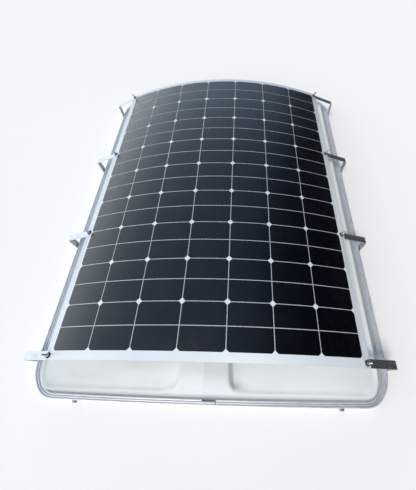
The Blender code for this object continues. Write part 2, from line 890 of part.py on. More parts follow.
def ease(share):
    """Smooth step from 0 to 1."""
    share = min(max(share, 0.0), 1.0)
    return share * share * (3 - 2 * share)


def bowed(x, y):
    """The y of a point of the roof or rim once the front and rear edges bulge in the middle."""
    return y * (1 + rim_end_bow / rim_half_length * (1 - (x / rim_half_width) ** 2))


def slope_share(y, end):
    """0 over the flat of the roof, 1 from a place near its front or rear shoulder on."""
    start = shoulder_y - shell_end_slope
    return min(max((abs(y) - start) / (end - start), 0.0), 1.0)


def spine_half_width_at(y):
    return spine_half_width + spine_flare * ease(slope_share(y, shoulder_y))


def spine_top(x, y):
    """Ridged top of the spine, which comes down to the shoulder at both ends."""
    ridge = spine_peak_height - (spine_peak_height - spine_height) * abs(x) / spine_half_width_at(y)
    fall = slope_share(y, shoulder_y) ** spine_slope_power
    return ridge + (shell_shoulder_height - ridge) * fall


def panel_top(x, y):
    """Sunk panel, crowned across and sloping down to its lip at both ends."""
    across = min(abs(x) / (shoulder_x - panel_lip_run), 1.0)
    crowned = panel_height - (panel_height - panel_edge_height) * across ** 2
    fall = slope_share(y, shoulder_y - panel_lip_run) ** panel_slope_power
    return crowned + (panel_edge_height - crowned) * fall


def make_roof_shell():
    """Moulded shell: flange, steep wall, raised lip, two sunk panels and a spine."""
    levels = shell_levels()
    half_way = corner_centre_x / 2
    inner_x = [0.0, "spine middle", "spine edge", "spine foot"]
    inner_x += [half_way - rim_corner_width, half_way, half_way + rim_corner_width]
    flat_end = shoulder_y - shell_end_slope
    inner_y = [0.0, flat_end / 2, flat_end, (flat_end + corner_centre_y) / 2]
    columns = inner_x + [level[0] for level in levels]
    rows = inner_y + [level[1] for level in levels]

    def place(i, j):
        level_x = i - len(inner_x)
        level_y = j - len(inner_y)
        y = rows[j]
        half_width = spine_half_width_at(y)
        named = {
            "spine middle": half_width / 2,
            "spine edge": half_width,
            "spine foot": half_width + spine_side_run,
        }
        x = named.get(columns[i], columns[i])
        outer = max(level_x, level_y)
        if level_x > 0 and level_y > 0:
            angle = math.pi / 4 * level_y / outer
            if level_y == outer:
                angle = math.pi / 2 - math.pi / 4 * level_x / outer
            x = corner_centre_x + (levels[outer][0] - corner_centre_x) * math.cos(angle)
            y = corner_centre_y + (levels[outer][1] - corner_centre_y) * math.sin(angle)
        if outer >= 0 and levels[outer][2] is not None:
            return x, y, levels[outer][2]
        if x <= half_width:
            return x, y, spine_top(x, y)
        return x, y, panel_top(x, y)

    bm = bmesh.new()
    grid = {}
    for i in range(-len(columns) + 1, len(columns)):
        for j in range(-len(rows) + 1, len(rows)):
            x, y, z = place(abs(i), abs(j))
            grid[(i, j)] = bm.verts.new((math.copysign(x, i), bowed(x, math.copysign(y, j)), z))
    for i in range(-len(columns) + 1, len(columns) - 1):
        for j in range(-len(rows) + 1, len(rows) - 1):
            corners = (grid[(i, j)], grid[(i + 1, j)], grid[(i + 1, j + 1)], grid[(i, j + 1)])
            bm.faces.new(corners)
    shell = finish_object("roof_shell", bm, white_moulding, 50.0)
    solid = shell.modifiers.new("wall", "SOLIDIFY")
    solid.thickness = shell_thickness
    solid.offset = -1.0
    solid.use_even_offset = True


# ---------------------------------------------------------------------------------------------
# Rim
# ---------------------------------------------------------------------------------------------
def rim_path(joint_gap, corner_steps=8):
    """Points and outward directions round the rim, from the joint at the front and back to it."""
    run = [corner_centre_x * step / 5 for step in range(-4, 5)]
    stations = []
    if joint_gap > 0:
        stations.append((rim_joint_offset + joint_gap / 2, -rim_half_length, 0.0, -1.0))
    stations += [(x, -rim_half_length, 0.0, -1.0) for x in run if x > rim_joint_offset]
    for quarter, (sx, sy) in enumerate(((1, -1), (1, 1), (-1, 1), (-1, -1))):
        for step in range(corner_steps + 1):
            angle = -math.pi / 2 + (quarter + step / corner_steps) * math.pi / 2
            x = sx * corner_centre_x + rim_corner_width * math.cos(angle)
            y = sy * corner_centre_y + rim_corner_length * math.sin(angle)
            outward = Vector((rim_corner_length * math.cos(angle), rim_corner_width * math.sin(angle)))
            outward.normalize()
            stations.append((x, y, outward.x, outward.y))
        if quarter == 1:
            stations += [(x, rim_half_length, 0.0, 1.0) for x in reversed(run)]
    stations += [(x, -rim_half_length, 0.0, -1.0) for x in run if x < rim_joint_offset]
    if joint_gap > 0:
        stations.append((rim_joint_offset - joint_gap / 2, -rim_half_length, 0.0, -1.0))
    return stations


def add_sweep(bm, profile, stations, closed):
    """Sweep a closed (outward, height) profile along the rim's path."""
    loops = []
    for x, y, out_x, out_y in stations:
        loop = []
        for outward, z in profile:
            place_x = x + out_x * outward
            loop.append(bm.verts.new((place_x, bowed(place_x, y + out_y * outward), z)))
        loops.append(loop)
    for first, second in zip(loops, loops[1:]):
        bridge(bm, first, second)
    if closed:
        bridge(bm, loops[-1], loops[0])
        return
    bm.faces.new(loops[0])
    bm.faces.new(list(reversed(loops[-1])))


def rim_profile():
    """Outer wall, stepped ribs that fall inwards, and a slot for the shell's flange."""
    edge = 0.001
    rib = rim_lip_reach / rim_rib_count
    outline = [(0.0, 0.0), (0.0, rim_height - edge), (-edge, rim_height)]
    for index in range(1, rim_rib_count):
        ridge = rim_height - (index - 1) * rim_rib_step
        groove_floor = ridge - rim_rib_step - rim_groove
        outline.append((-rib * index + rim_groove, ridge))
        outline.append((-rib * index + rim_groove, groove_floor))
        outline.append((-rib * index, groove_floor))
        outline.append((-rib * index, ridge - rim_rib_step))
    outline.append((-rim_lip_reach, rim_height - (rim_rib_count - 1) * rim_rib_step))
    outline.append((-rim_lip_reach, rim_lip_underside))
    outline.append((-rim_wall, rim_lip_underside))
    outline.append((-rim_wall, rim_floor))
    outline.append((-rim_depth, rim_floor))
    outline.append((-rim_depth, 0.0))
    return [(a, rim_bottom + b) for a, b in outline]


def make_rim():
    """One extrusion bent round the roof, its two ends meeting at the front."""
    bm = bmesh.new()
    add_sweep(bm, rim_profile(), rim_path(rim_joint_gap), closed=False)
    rim = finish_object("rim_extrusion", bm, anodised_rim, 25.0)

    notch = bmesh.new()
    rib_share = (rim_rib_count - 1) / rim_rib_count
    front = bowed(rim_joint_offset, -rim_half_length) + rim_lip_reach * rib_share
    low = (rim_joint_offset - rim_notch_length, front, rim_bottom + rim_lip_underside - rim_wall)
    high = (rim_joint_offset, front + rim_lip_reach, rim_bottom + 2 * rim_height)
    add_box(notch, low, high)
    cut(rim, finish_object("rim_notch_cutter", notch, anodised_rim))

    holes = bmesh.new()
    hole = round_section(rim_bolt_radius + clearance)
    for side in (-1, 1):
        stages = [(hole, -rim_bolt_depth - clearance), (hole, rim_wall)]
        add_turned_solid(holes, stages, 12, rim_bolt_matrix(side))
    cut(rim, finish_object("rim_bolt_hole_cutter", holes, anodised_rim))


def make_rim_gasket():
    """Sealing strip between the rim's lip and the shell's flange."""
    low = shell_flange_top + clearance
    high = low + gasket_thickness
    outer = -rim_wall - clearance
    inner = -rim_lip_reach - gasket_overhang
    bm = bmesh.new()
    profile = [(outer, low), (outer, high), (inner, high), (inner, low)]
    add_sweep(bm, profile, rim_path(0.0), closed=True)
    finish_object("rim_gasket", bm, grey_sealant, 40.0)


def rim_bolt_matrix(side):
    """Frame of a bolt in the front of the rim, Z pointing forwards."""
    front = bowed(rim_bolt_offset, -rim_half_length)
    place = Vector((side * rim_bolt_offset, front, rim_bottom + rim_bolt_height))
    return Matrix.Translation(place) @ Matrix.Rotation(math.pi / 2, 4, "X")


def make_rim_bolts():
    """Two hexagon bolts in the front of the rim."""
    for side in (-1, 1):
        bm = bmesh.new()
        head = hex_section(rim_bolt_head_across_flats)
        shank = round_section(rim_bolt_radius)
        crown = round_section(rim_bolt_head_across_flats / 2)
        tip = clearance + rim_bolt_head_height
        stages = [(shank, -rim_bolt_depth), (shank, clearance), (head, clearance)]
        stages += [(head, tip - rim_bolt_chamfer), (crown, tip)]
        add_turned_solid(bm, stages, 12, rim_bolt_matrix(side))
        finish_object("rim_bolt_" + side_name(side), bm, zinc_steel)


# ---------------------------------------------------------------------------------------------
# Build
# ---------------------------------------------------------------------------------------------
make_front_film()
make_edge_seal()
for string in range(cell_columns):
    make_cell_string(string)
make_output_ribbon()
make_return_ribbon()
make_back_sheet()

make_junction_pad()
make_junction_body()
make_junction_gasket()
make_junction_cover()
make_terminal_block()
make_bypass_diodes()
make_glands()

for bracket_side, bracket_number, station in bolt_places():
    make_bracket(bracket_side, bracket_number, station)
    make_bracket_bolt(bracket_side, bracket_number, station)
    make_washer(bracket_side, bracket_number, station)
    make_nut(bracket_side, bracket_number, station)

make_roof_shell()
make_rim()
make_rim_gasket()
make_rim_bolts()

# centre the footprint: the rim bolts' heads may stand out further than the front of the rim
rim_rear = bowed(0.0, rim_half_length)
bolt_front = bowed(rim_bolt_offset, rim_half_length) + rim_bolt_head_height + clearance
footprint_shift = (max(bolt_front, rim_rear) - rim_rear) / 2
for piece in bpy.data.objects:
    piece.location.y += footprint_shift
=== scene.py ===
"""Looks of a flexible solar sheet bowed over a moulded roof shell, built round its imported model.

Lengths are in metres in the model's own frame: X right across the bow, Y to the rear, Z up.
"""

import json
import math
import random

import bmesh
import bpy
from mathutils import Euler, Matrix, Vector


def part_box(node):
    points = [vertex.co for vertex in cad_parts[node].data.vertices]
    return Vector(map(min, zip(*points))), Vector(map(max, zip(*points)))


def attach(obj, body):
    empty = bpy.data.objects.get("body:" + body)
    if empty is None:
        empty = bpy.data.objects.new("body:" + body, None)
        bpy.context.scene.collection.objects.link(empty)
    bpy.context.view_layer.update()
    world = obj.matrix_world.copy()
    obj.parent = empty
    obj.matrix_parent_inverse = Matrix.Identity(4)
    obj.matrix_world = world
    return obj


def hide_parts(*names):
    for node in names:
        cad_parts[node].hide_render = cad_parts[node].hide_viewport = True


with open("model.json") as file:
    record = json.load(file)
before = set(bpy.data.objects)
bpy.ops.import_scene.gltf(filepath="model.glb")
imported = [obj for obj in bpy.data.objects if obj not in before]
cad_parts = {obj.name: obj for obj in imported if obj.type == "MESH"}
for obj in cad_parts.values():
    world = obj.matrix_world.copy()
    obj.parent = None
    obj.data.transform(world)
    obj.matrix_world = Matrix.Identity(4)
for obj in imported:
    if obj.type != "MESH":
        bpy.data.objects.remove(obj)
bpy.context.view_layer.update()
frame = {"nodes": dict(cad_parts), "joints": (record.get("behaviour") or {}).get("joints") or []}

random.seed(7)

# ---------------------------------------------------------------------------------------------
# Sizes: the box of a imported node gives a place, and what a box can't give is named here
# ---------------------------------------------------------------------------------------------
film_low, film_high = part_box("front_film")
rim_low, rim_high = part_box("rim_extrusion")
gasket_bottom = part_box("rim_gasket")[0].z
cells_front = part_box("cell_string_7")[0].y

bow_radius = 1.584
crown = film_high.z
sheet_front = film_low.y
sheet_rear = film_high.y
sheet_half_arc = bow_radius * math.asin(film_high.x / bow_radius)
sheet_thickness = 0.0027
sheet_corner = 0.006
sheet_corner_steps = 8
sheet_corner_tip = 0.00005
sheet_columns = 96
sheet_edge_radius = 0.0004
sheet_hole_low = -0.010
sheet_hole_high = 0.006
laminate_depth = 0.00018
cell_depth = 0.00005
cell_thickness = 0.0003

cell_columns = 7
half_cell_rows = 18
cell_size = 0.15675
cell_gap = 0.00325
cell_corner = 0.0100
cell_corner_bulge = 0.0007
cell_pitch = cell_size + cell_gap
half_cell_pitch = cell_size / 2 + cell_gap

hole_radius = 0.0048
bolt_radius = 0.0040
thread_pitch = 0.00125
thread_depth = 0.0007
thread_lap = 0.0005
bolt_head_across_flats = 0.013
bolt_head_height = 0.0053
bolt_projection = 0.026
washer_radius = 0.010
washer_low = 0.0003
washer_high = 0.0028
washer_bore_play = 0.0005
washer_edge = (  # (inset from the edge, share of the height)
    (0.0010, 0.0), (0.0002, 0.12), (0.0, 0.35), (0.0003, 0.68), (0.0012, 0.90), (0.0026, 1.0),
)
nut_across_flats = 0.013
nut_low = 0.0031
nut_high = 0.0099
nut_bore_radius = 0.0043
nut_bore_chamfer = 0.0005
nut_bore_flare = 1.12
hex_face_share = 0.96
hex_chamfer_angle = 30.0

bracket_thickness = 0.003
bracket_bend = 0.0055
bracket_inner_reach = 0.014
bracket_lip_reach = 0.018
bracket_edge_radius = 0.0007
bracket_hole_low = -0.012
clearance = 0.0003
fillet_side_share = 0.49

rim_half_width = rim_high.x
rim_end_bow = 0.009
rim_half_length = (rim_high.y - rim_low.y) / 2 - rim_end_bow
middle_y = (rim_high.y + rim_low.y) / 2
rim_bottom = rim_low.z
rim_height = rim_high.z - rim_low.z
rim_corner_width = 0.100
rim_corner_length = 0.130
rim_reach = 0.020
rim_depth = 0.024
rim_wall = 0.003
rim_floor = 0.0025
rim_lip_underside = 0.010
rim_rib_count = 3
rim_rib_step = 0.0030
rim_rib_fall = 0.0003
rim_groove = 0.0016
rim_edge_radius = 0.0005
rim_joint_x = 0.035
rim_joint_gap = 0.0036
rim_notch_length = 0.050
rim_notch_overcut = 0.001
rim_corner_steps = 28
rim_run_steps = 24
bead_top = 0.0186
bead_fall = 0.0004
bead_wall_gap = 0.0004

rim_bolt_radius = 0.0028
rim_bolt_depth = 0.007
rim_bolt_flange_radius = 0.0096
rim_bolt_flange_top_radius = 0.0082
rim_bolt_flange_edge = 0.0009
rim_bolt_flange_height = 0.0019
rim_bolt_lap = 0.0001
rim_bolt_across_flats = 0.0155

shell_thickness = 0.004
shell_flange_z = gasket_bottom - clearance
shell_foot_inset = 0.0222
shell_edge_inset = 0.0042
shell_side_run = 0.0375
shell_end_run = 0.0125
shoulder_z = 0.074
lip_run = 0.011
end_lip_run = 0.017
pocket_edge_z = 0.0705
panel_z = 0.112
spine_z = 0.132
spine_peak_z = 0.142
spine_half_width = 0.0795
spine_side_run = 0.023
spine_flare = 0.004
end_slope_length = 0.118
pocket_corner = 0.030
panel_slope_power = 2.4
spine_slope_power = 5
corner_levels = 12
corner_crowding = 1.6
wall_levels = 14
wall_samples = 60
spine_steps = 8
spine_wall_steps = 10
panel_steps = 14
middle_rows = 14
middle_rows_end = 0.70
end_rows = 6
corner_x = rim_half_width - rim_corner_width
corner_y = rim_half_length - rim_corner_length
foot_x = rim_half_width - shell_foot_inset
foot_y = rim_half_length - shell_foot_inset
shoulder_x = foot_x - shell_side_run
shoulder_y = foot_y - shell_end_run

ASSEMBLY = "assembly"


# ---------------------------------------------------------------------------------------------
# Making pieces
# ---------------------------------------------------------------------------------------------
def make_piece(name, bm, material, body=ASSEMBLY, replaces=(), sharp_angle=35.0):
    """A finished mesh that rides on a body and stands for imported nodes."""
    bmesh.ops.recalc_face_normals(bm, faces=bm.faces)
    mesh = bpy.data.meshes.new(name)
    bm.to_mesh(mesh)
    bm.free()
    mesh.materials.append(material)
    mesh.shade_smooth()
    mesh.set_sharp_from_angle(angle=math.radians(sharp_angle))
    piece = bpy.data.objects.new(name, mesh)
    bpy.context.scene.collection.objects.link(piece)
    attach(piece, body)
    if replaces:
        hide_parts(*replaces)
    return piece


def apply_modifiers(piece, sharp_angle=35.0):
    """Make the modifiers' result the piece's own mesh."""
    graph = bpy.context.evaluated_depsgraph_get()
    mesh = bpy.data.meshes.new_from_object(piece.evaluated_get(graph))
    piece.modifiers.clear()
    piece.data = mesh
    mesh.shade_smooth()
    mesh.set_sharp_from_angle(angle=math.radians(sharp_angle))


def cut(piece, bm):
    """Take a shape out of a piece."""
    mesh = bpy.data.meshes.new("cutter")
    bmesh.ops.recalc_face_normals(bm, faces=bm.faces)
    bm.to_mesh(mesh)
    bm.free()
    cutter = bpy.data.objects.new("cutter", mesh)
    bpy.context.scene.collection.objects.link(cutter)
    modifier = piece.modifiers.new("cut", "BOOLEAN")
    modifier.operation = "DIFFERENCE"
    modifier.object = cutter
    apply_modifiers(piece)
    bpy.data.objects.remove(cutter, do_unlink=True)


def add_bevel(piece, width):
    """Round the piece's sharp edges."""
    bevel = piece.modifiers.new("edges", "BEVEL")
    bevel.width = width
    bevel.segments = 2
    bevel.limit_method = "ANGLE"
    bevel.angle_limit = math.radians(60.0)
    bevel.harden_normals = True


def even(low, high, count):
    """The ends of count equal steps from low to high."""
    return [low + (high - low) * index / count for index in range(count + 1)]


def bridge(bm, lower, upper):
    """Quads between two loops of equal length."""
    count = len(lower)
    for index in range(count):
        after = (index + 1) % count
        bm.faces.new((lower[index], lower[after], upper[after], upper[index]))


def add_rings(bm, rings, closed_round=False):
    """Skin a stack of rings of points, capped at both ends unless it closes on itself."""
    loops = [[bm.verts.new(point) for point in ring] for ring in rings]
    for lower, upper in zip(loops, loops[1:]):
        bridge(bm, lower, upper)
    if closed_round:
        bridge(bm, loops[-1], loops[0])
    else:
        bm.faces.new(list(reversed(loops[0])))
        bm.faces.new(loops[-1])


def ring_points(section, height, steps, matrix):
    """Points of a section at a height; section gives the radius at an angle."""
    points = []
    for step in range(steps):
        angle = 2 * math.pi * step / steps
        radius = section(angle)
        points.append(matrix @ Vector((radius * math.cos(angle), radius * math.sin(angle), height)))
    return points


def circle(radius):
    """Radius of a circle at an angle."""
    return lambda angle: radius


def hexagon(across_flats):
    """Radius of a hexagon at an angle, with a corner at angle zero."""
    def radius(angle):
        return across_flats / 2 / math.cos((angle % (math.pi / 3)) - math.pi / 6)
    return radius


def turned(bm, stages, matrix, steps=32, closed_round=False):
    """A solid from (section, height) stages."""
    rings = [ring_points(section, height, steps, matrix) for section, height in stages]
    add_rings(bm, rings, closed_round=closed_round)


def fillet(corners, radius, steps, closed=False):
    """Round the corners of a path in a plane, as far as its sides leave room."""
    count = len(corners)
    path = []
    for index, corner in enumerate(corners):
        if not closed and index in (0, count - 1):
            path.append(corner)
            continue
        inward = corners[index - 1] - corner
        outward = corners[(index + 1) % count] - corner
        room = min(inward.length, outward.length) * fillet_side_share
        inward.normalize()
        outward.normalize()
        half = inward.angle(outward) / 2
        reach = min(radius / math.tan(half), room)
        actual = reach * math.tan(half)
        centre = corner + (inward + outward).normalized() * (actual / math.sin(half))
        start = (corner + inward * reach - centre).normalized()
        end = (corner + outward * reach - centre).normalized()
        for step in range(steps + 1):
            path.append(centre + start.slerp(end, step / steps).normalized() * actual)
    return path


# ---------------------------------------------------------------------------------------------
# Materials
# ---------------------------------------------------------------------------------------------
class Finish:
    """A Principled material and the nodes that drive it."""

    def __init__(self, name, colour, roughness, metallic=0.0, **sockets):
        self.material = bpy.data.materials.new(name)
        self.material.use_nodes = True
        self.tree = self.material.node_tree
        self.shader = self.tree.nodes["Principled BSDF"]
        self.set("Base Color", (*colour, 1.0))
        self.set("Roughness", roughness)
        self.set("Metallic", metallic)
        for socket, value in sockets.items():
            self.set(socket.replace("_", " "), value)
        self.place = self.tree.nodes.new("ShaderNodeTexCoord").outputs["Object"]
        self.normal = None

    def set(self, socket, value):
        self.shader.inputs[socket].default_value = value

    def node(self, kind, inputs=(), **settings):
        """A node with its settings, and its inputs as {socket: value or output}."""
        made = self.tree.nodes.new(kind)
        for key, value in settings.items():
            setattr(made, key, value)
        for socket, value in dict(inputs).items():
            if isinstance(value, bpy.types.NodeSocket):
                self.tree.links.new(value, made.inputs[socket])
            else:
                made.inputs[socket].default_value = value
        return made

    def stretched(self, scale):
        """Coordinates scaled by an amount for each axis."""
        inputs = {"Vector": self.place, "Scale": scale}
        return self.node("ShaderNodeMapping", inputs).outputs["Vector"]

    def noise(self, scale, detail=4.0, roughness=0.55, source=None):
        inputs = {"Vector": source or self.place, "Scale": scale, "Detail": detail}
        inputs["Roughness"] = roughness
        return self.node("ShaderNodeTexNoise", inputs).outputs["Fac"]

    def cells(self, scale):
        inputs = {"Vector": self.place, "Scale": scale}
        return self.node("ShaderNodeTexVoronoi", inputs).outputs["Distance"]

    def spread(self, value, low, high, from_low=0.3, from_high=0.7):
        """Map a range of a value onto low to high, with smooth ends."""
        inputs = {"Value": value, "From Min": from_low, "From Max": from_high}
        inputs.update({"To Min": low, "To Max": high})
        node = self.node("ShaderNodeMapRange", inputs, interpolation_type="SMOOTHSTEP")
        return node.outputs["Result"]

    def blend(self, factor, first, second):
        """Mix two colours, each a tuple or an output."""
        inputs = {"Factor": factor}
        node = self.node("ShaderNodeMix", inputs, data_type="RGBA")
        for socket, colour in ((node.inputs[6], first), (node.inputs[7], second)):
            if isinstance(colour, bpy.types.NodeSocket):
                self.tree.links.new(colour, socket)
            else:
                socket.default_value = (*colour, 1.0)
        return node.outputs[2]

    def maths(self, operation, first, second=0.0):
        return self.node("ShaderNodeMath", {0: first, 1: second}, operation=operation).outputs[0]

    def parts(self, vector):
        """X, Y and Z of a vector output."""
        return self.node("ShaderNodeSeparateXYZ", {0: vector}).outputs

    def facing(self, normal="Normal"):
        """X, Y and Z of the way the surface faces."""
        return self.parts(self.node("ShaderNodeNewGeometry").outputs[normal])

    def drive(self, socket, value):
        self.tree.links.new(value, self.shader.inputs[socket])

    def bump(self, height, distance, strength=1.0):
        """Add a bump of a height in metres; bumps add up."""
        inputs = {"Height": height, "Distance": distance, "Strength": strength}
        if self.normal is not None:
            inputs["Normal"] = self.normal
        self.normal = self.node("ShaderNodeBump", inputs).outputs["Normal"]
        self.drive("Normal", self.normal)


def laminate_finish():
    """Bluish white back sheet: clean in the margins and at cut corners, a thin grey line in each
    gap that is partly encapsulant tone and partly painted shade, and painted shade on the edge
    faces.
    """
    f = Finish(
        "white_laminate_finish", (0.80, 0.85, 0.90), 0.42, Coat_Weight=0.25, Coat_Roughness=0.34,
    )
    place = f.parts(f.place)
    half_width = cell_columns * cell_pitch / 2
    length = half_cell_rows * half_cell_pitch
    front = cells_front - cell_gap / 2
    corner_start = cell_corner + 0.0010
    line_start = 0.0007
    line_end = 0.0014

    def from_line(value, pitch):
        """Distance to the nearest line of a row of lines a pitch apart."""
        return f.maths("PINGPONG", value, pitch / 2)

    angle = f.maths("ARCSINE", f.maths("DIVIDE", place["X"], bow_radius))
    arc = f.maths("MULTIPLY", angle, bow_radius)
    across = f.maths("ADD", arc, half_width)
    along = f.maths("SUBTRACT", place["Y"], front)
    from_middle = f.maths("ABSOLUTE", f.maths("SUBTRACT", along, length / 2))
    side = f.maths("LESS_THAN", f.maths("ABSOLUTE", arc), half_width - cell_gap)
    end = f.maths("LESS_THAN", from_middle, length / 2 - cell_gap)
    facing = f.facing("True Normal")
    on_top = f.maths("GREATER_THAN", facing["Z"], 0.0)
    in_array = f.maths("MULTIPLY", on_top, f.maths("MULTIPLY", side, end))

    clouds = f.noise(3.0, 5.0)
    specks = f.noise(160.0, 3.0, 0.7)
    clean = f.blend(f.spread(clouds, 0.0, 1.0), (0.63, 0.67, 0.70), (0.70, 0.73, 0.75))
    dust = f.spread(specks, 0.0, 0.35, 0.62, 0.78)
    margin = f.blend(dust, clean, (0.52, 0.53, 0.52))
    from_gap = f.maths("MINIMUM", from_line(across, cell_pitch), from_line(along, half_cell_pitch))
    # The grey gap lines are partly the encapsulant's own tone and partly painted shade between the
    # black cells.
    on_line = f.spread(from_gap, 1.0, 0.0, line_start, line_end)
    line = f.blend(on_line, (0.05, 0.055, 0.06), (0.50, 0.53, 0.55))
    full_cell_pitch = 2 * half_cell_pitch
    from_corner = f.maths("ADD", from_line(across, cell_pitch), from_line(along, full_cell_pitch))
    in_corner = f.spread(from_corner, 1.0, 0.0, corner_start, cell_corner + cell_gap)
    finished = f.blend(in_array, margin, f.blend(in_corner, line, margin))
    # Painted shade: faces turned to the front or rear are painted near black, standing in for the
    # shadow line along the sheet's edge.
    is_edge = f.maths("GREATER_THAN", f.maths("ABSOLUTE", facing["Y"]), 0.7)
    f.drive("Base Color", f.blend(is_edge, finished, (0.13, 0.14, 0.15)))
    f.drive("Roughness", f.spread(clouds, 0.36, 0.50))
    f.bump(f.cells(900.0), 0.00006)
    f.bump(f.noise(14.0, 2.0), 0.0006, 0.5)
    return f.material


def silicon_finish():
    """Back-contact silicon: near black, a shade of its own for each cell, fine lines along Y."""
    f = Finish(
        "black_silicon_finish", (0.001, 0.0016, 0.004), 0.30, Coat_Weight=1.0, Coat_Roughness=0.27,
        Specular_IOR_Level=0.26,
    )
    shade = f.node("ShaderNodeAttribute", attribute_name="shade").outputs["Fac"]
    base = f.blend(shade, (0.0002, 0.0005, 0.0018), (0.0007, 0.0012, 0.0032))
    lines = f.noise(1.0, 2.0, 0.6, f.stretched((820.0, 3.0, 0.0)))
    bands = f.noise(1.0, 1.0, 0.5, f.stretched((60.0, 1.5, 0.0)))
    lined = f.blend(f.spread(lines, 0.0, 0.45), base, (0.0020, 0.0036, 0.0090))
    toned = f.blend(f.spread(bands, 0.0, 0.35), lined, (0.0002, 0.0005, 0.0018))
    dust = f.spread(f.noise(240.0, 2.0, 0.8), 0.0, 0.10, 0.68, 0.82)
    f.drive("Base Color", f.blend(dust, toned, (0.05, 0.055, 0.06)))
    f.drive("Coat Roughness", f.spread(f.noise(9.0, 4.0), 0.23, 0.33))
    f.bump(f.cells(900.0), 0.00005)
    f.bump(f.noise(10.0, 2.0), 0.0006, 0.6)
    return f.material


def gelcoat_finish():
    """White gelcoat gone slightly cream, with orange peel, dust and run marks, painted shade on the
    low steep walls and painted light towards the right side.
    """
    f = Finish(
        "white_moulding_finish", (0.74, 0.76, 0.75), 0.50, Coat_Weight=0.12, Coat_Roughness=0.30,
        Specular_IOR_Level=0.25,
    )
    clouds = f.noise(4.0, 6.0)
    streaks = f.noise(1.0, 5.0, 0.6, f.stretched((5.0, 24.0, 20.0)))
    aged = f.blend(f.spread(clouds, 0.0, 1.0), (0.66, 0.67, 0.65), (0.72, 0.75, 0.76))
    streaked = f.blend(f.spread(streaks, 0.0, 0.30, 0.50, 0.75), aged, (0.58, 0.59, 0.57))
    place = f.parts(f.place)
    # Painted light: the colour is lightened towards +X, standing in for more light on the right
    # side of the roof.
    lit_right_side = f.blend(f.spread(place["X"], 0.0, 0.8, 0.02, 0.50), streaked, (0.80, 0.82, 0.82))
    # Painted shade: steep faces low on the shell are darkened towards grey, standing in for the
    # shade on the walls by the rim.
    steep = f.spread(f.facing()["Z"], 0.85, 0.0, 0.62, 0.99)
    low = f.spread(place["Z"], 1.0, 0.0, 0.066, 0.086)
    wall_shade = f.maths("MULTIPLY", f.maths("MULTIPLY", steep, low), f.spread(clouds, 0.8, 1.0))
    wall_shaded = f.blend(wall_shade, lit_right_side, (0.50, 0.53, 0.55))
    dust = f.spread(f.noise(120.0, 4.0, 0.75), 0.0, 0.22, 0.58, 0.78)
    f.drive("Base Color", f.blend(dust, wall_shaded, (0.50, 0.49, 0.44)))
    f.drive("Roughness", f.spread(clouds, 0.42, 0.60))
    f.bump(f.noise(220.0, 2.0, 0.5), 0.00012, 0.6)
    f.bump(f.noise(7.0, 2.0, 0.5), 0.0018, 0.5)
    return f.material


def brushed_finish(name, light, dark, roughness, stretch, metallic, dulling, scratch=0.00002):
    """Bare or anodised metal with drawing lines along one axis, dull patches and fine pits."""
    f = Finish(name, light, roughness, metallic)
    lines = f.noise(1.0, 4.0, 0.65, f.stretched(stretch))
    patches = f.noise(30.0, 5.0, 0.6)
    metal = f.blend(f.spread(lines, 0.0, 1.0), dark, light)
    dull = f.spread(patches, 0.0, 0.35, 0.52, 0.75)
    f.drive("Base Color", f.blend(dull, metal, tuple(dulling * part for part in dark)))
    worn = f.maths("ADD", f.spread(lines, -0.06, 0.08), f.spread(patches, 0.0, 0.10, 0.5, 0.8))
    f.drive("Roughness", f.maths("ADD", worn, roughness))
    f.bump(lines, scratch, 0.6)
    f.bump(f.noise(600.0, 2.0), 0.00002, 0.4)
    return f.material


def zinc_finish():
    """Bright zinc plate with a faint crystal pattern and grey handling marks."""
    f = Finish("zinc_steel_finish", (0.38, 0.39, 0.40), 0.34, 1.0)
    crystals = f.cells(260.0)
    marks = f.noise(90.0, 4.0, 0.6)
    plate = f.blend(f.spread(crystals, 0.0, 1.0, 0.0, 0.6), (0.30, 0.31, 0.32), (0.46, 0.47, 0.48))
    f.drive("Base Color", f.blend(f.spread(marks, 0.0, 0.6, 0.5, 0.75), plate, (0.16, 0.16, 0.15)))
    f.drive("Roughness", f.spread(marks, 0.26, 0.46))
    f.bump(crystals, 0.00003, 0.5)
    return f.material


def rubber_finish(name, dark, light):
    """Rubber or sealant with a dry bloom."""
    f = Finish(name, dark, 0.72)
    bloom = f.noise(70.0, 5.0, 0.7)
    f.drive("Base Color", f.blend(f.spread(bloom, 0.0, 1.0, 0.45, 0.8), dark, light))
    f.drive("Roughness", f.spread(bloom, 0.62, 0.85))
    f.bump(f.noise(900.0, 2.0), 0.00006)
    return f.material


def moulded_finish(name, dark, light, roughness):
    """Spark-eroded mould texture on plastic."""
    f = Finish(name, dark, roughness)
    grain = f.noise(1400.0, 2.0, 0.6)
    clouds = f.noise(25.0, 4.0)
    f.drive("Base Color", f.blend(f.spread(clouds, 0.0, 1.0), dark, light))
    f.drive("Roughness", f.spread(clouds, roughness - 0.06, roughness + 0.08))
    f.bump(grain, 0.00008)
    return f.material


def tinned_finish():
    """Tinned copper ribbon, slightly rippled."""
    f = Finish("tinned_copper_finish", (0.72, 0.71, 0.68), 0.34, 1.0)
    ripple = f.noise(130.0, 3.0)
    tin = f.blend(f.spread(ripple, 0.0, 1.0), (0.60, 0.58, 0.54), (0.78, 0.77, 0.74))
    f.drive("Base Color", tin)
    f.drive("Roughness", f.spread(ripple, 0.28, 0.46))
    f.bump(ripple, 0.00008)
    return f.material


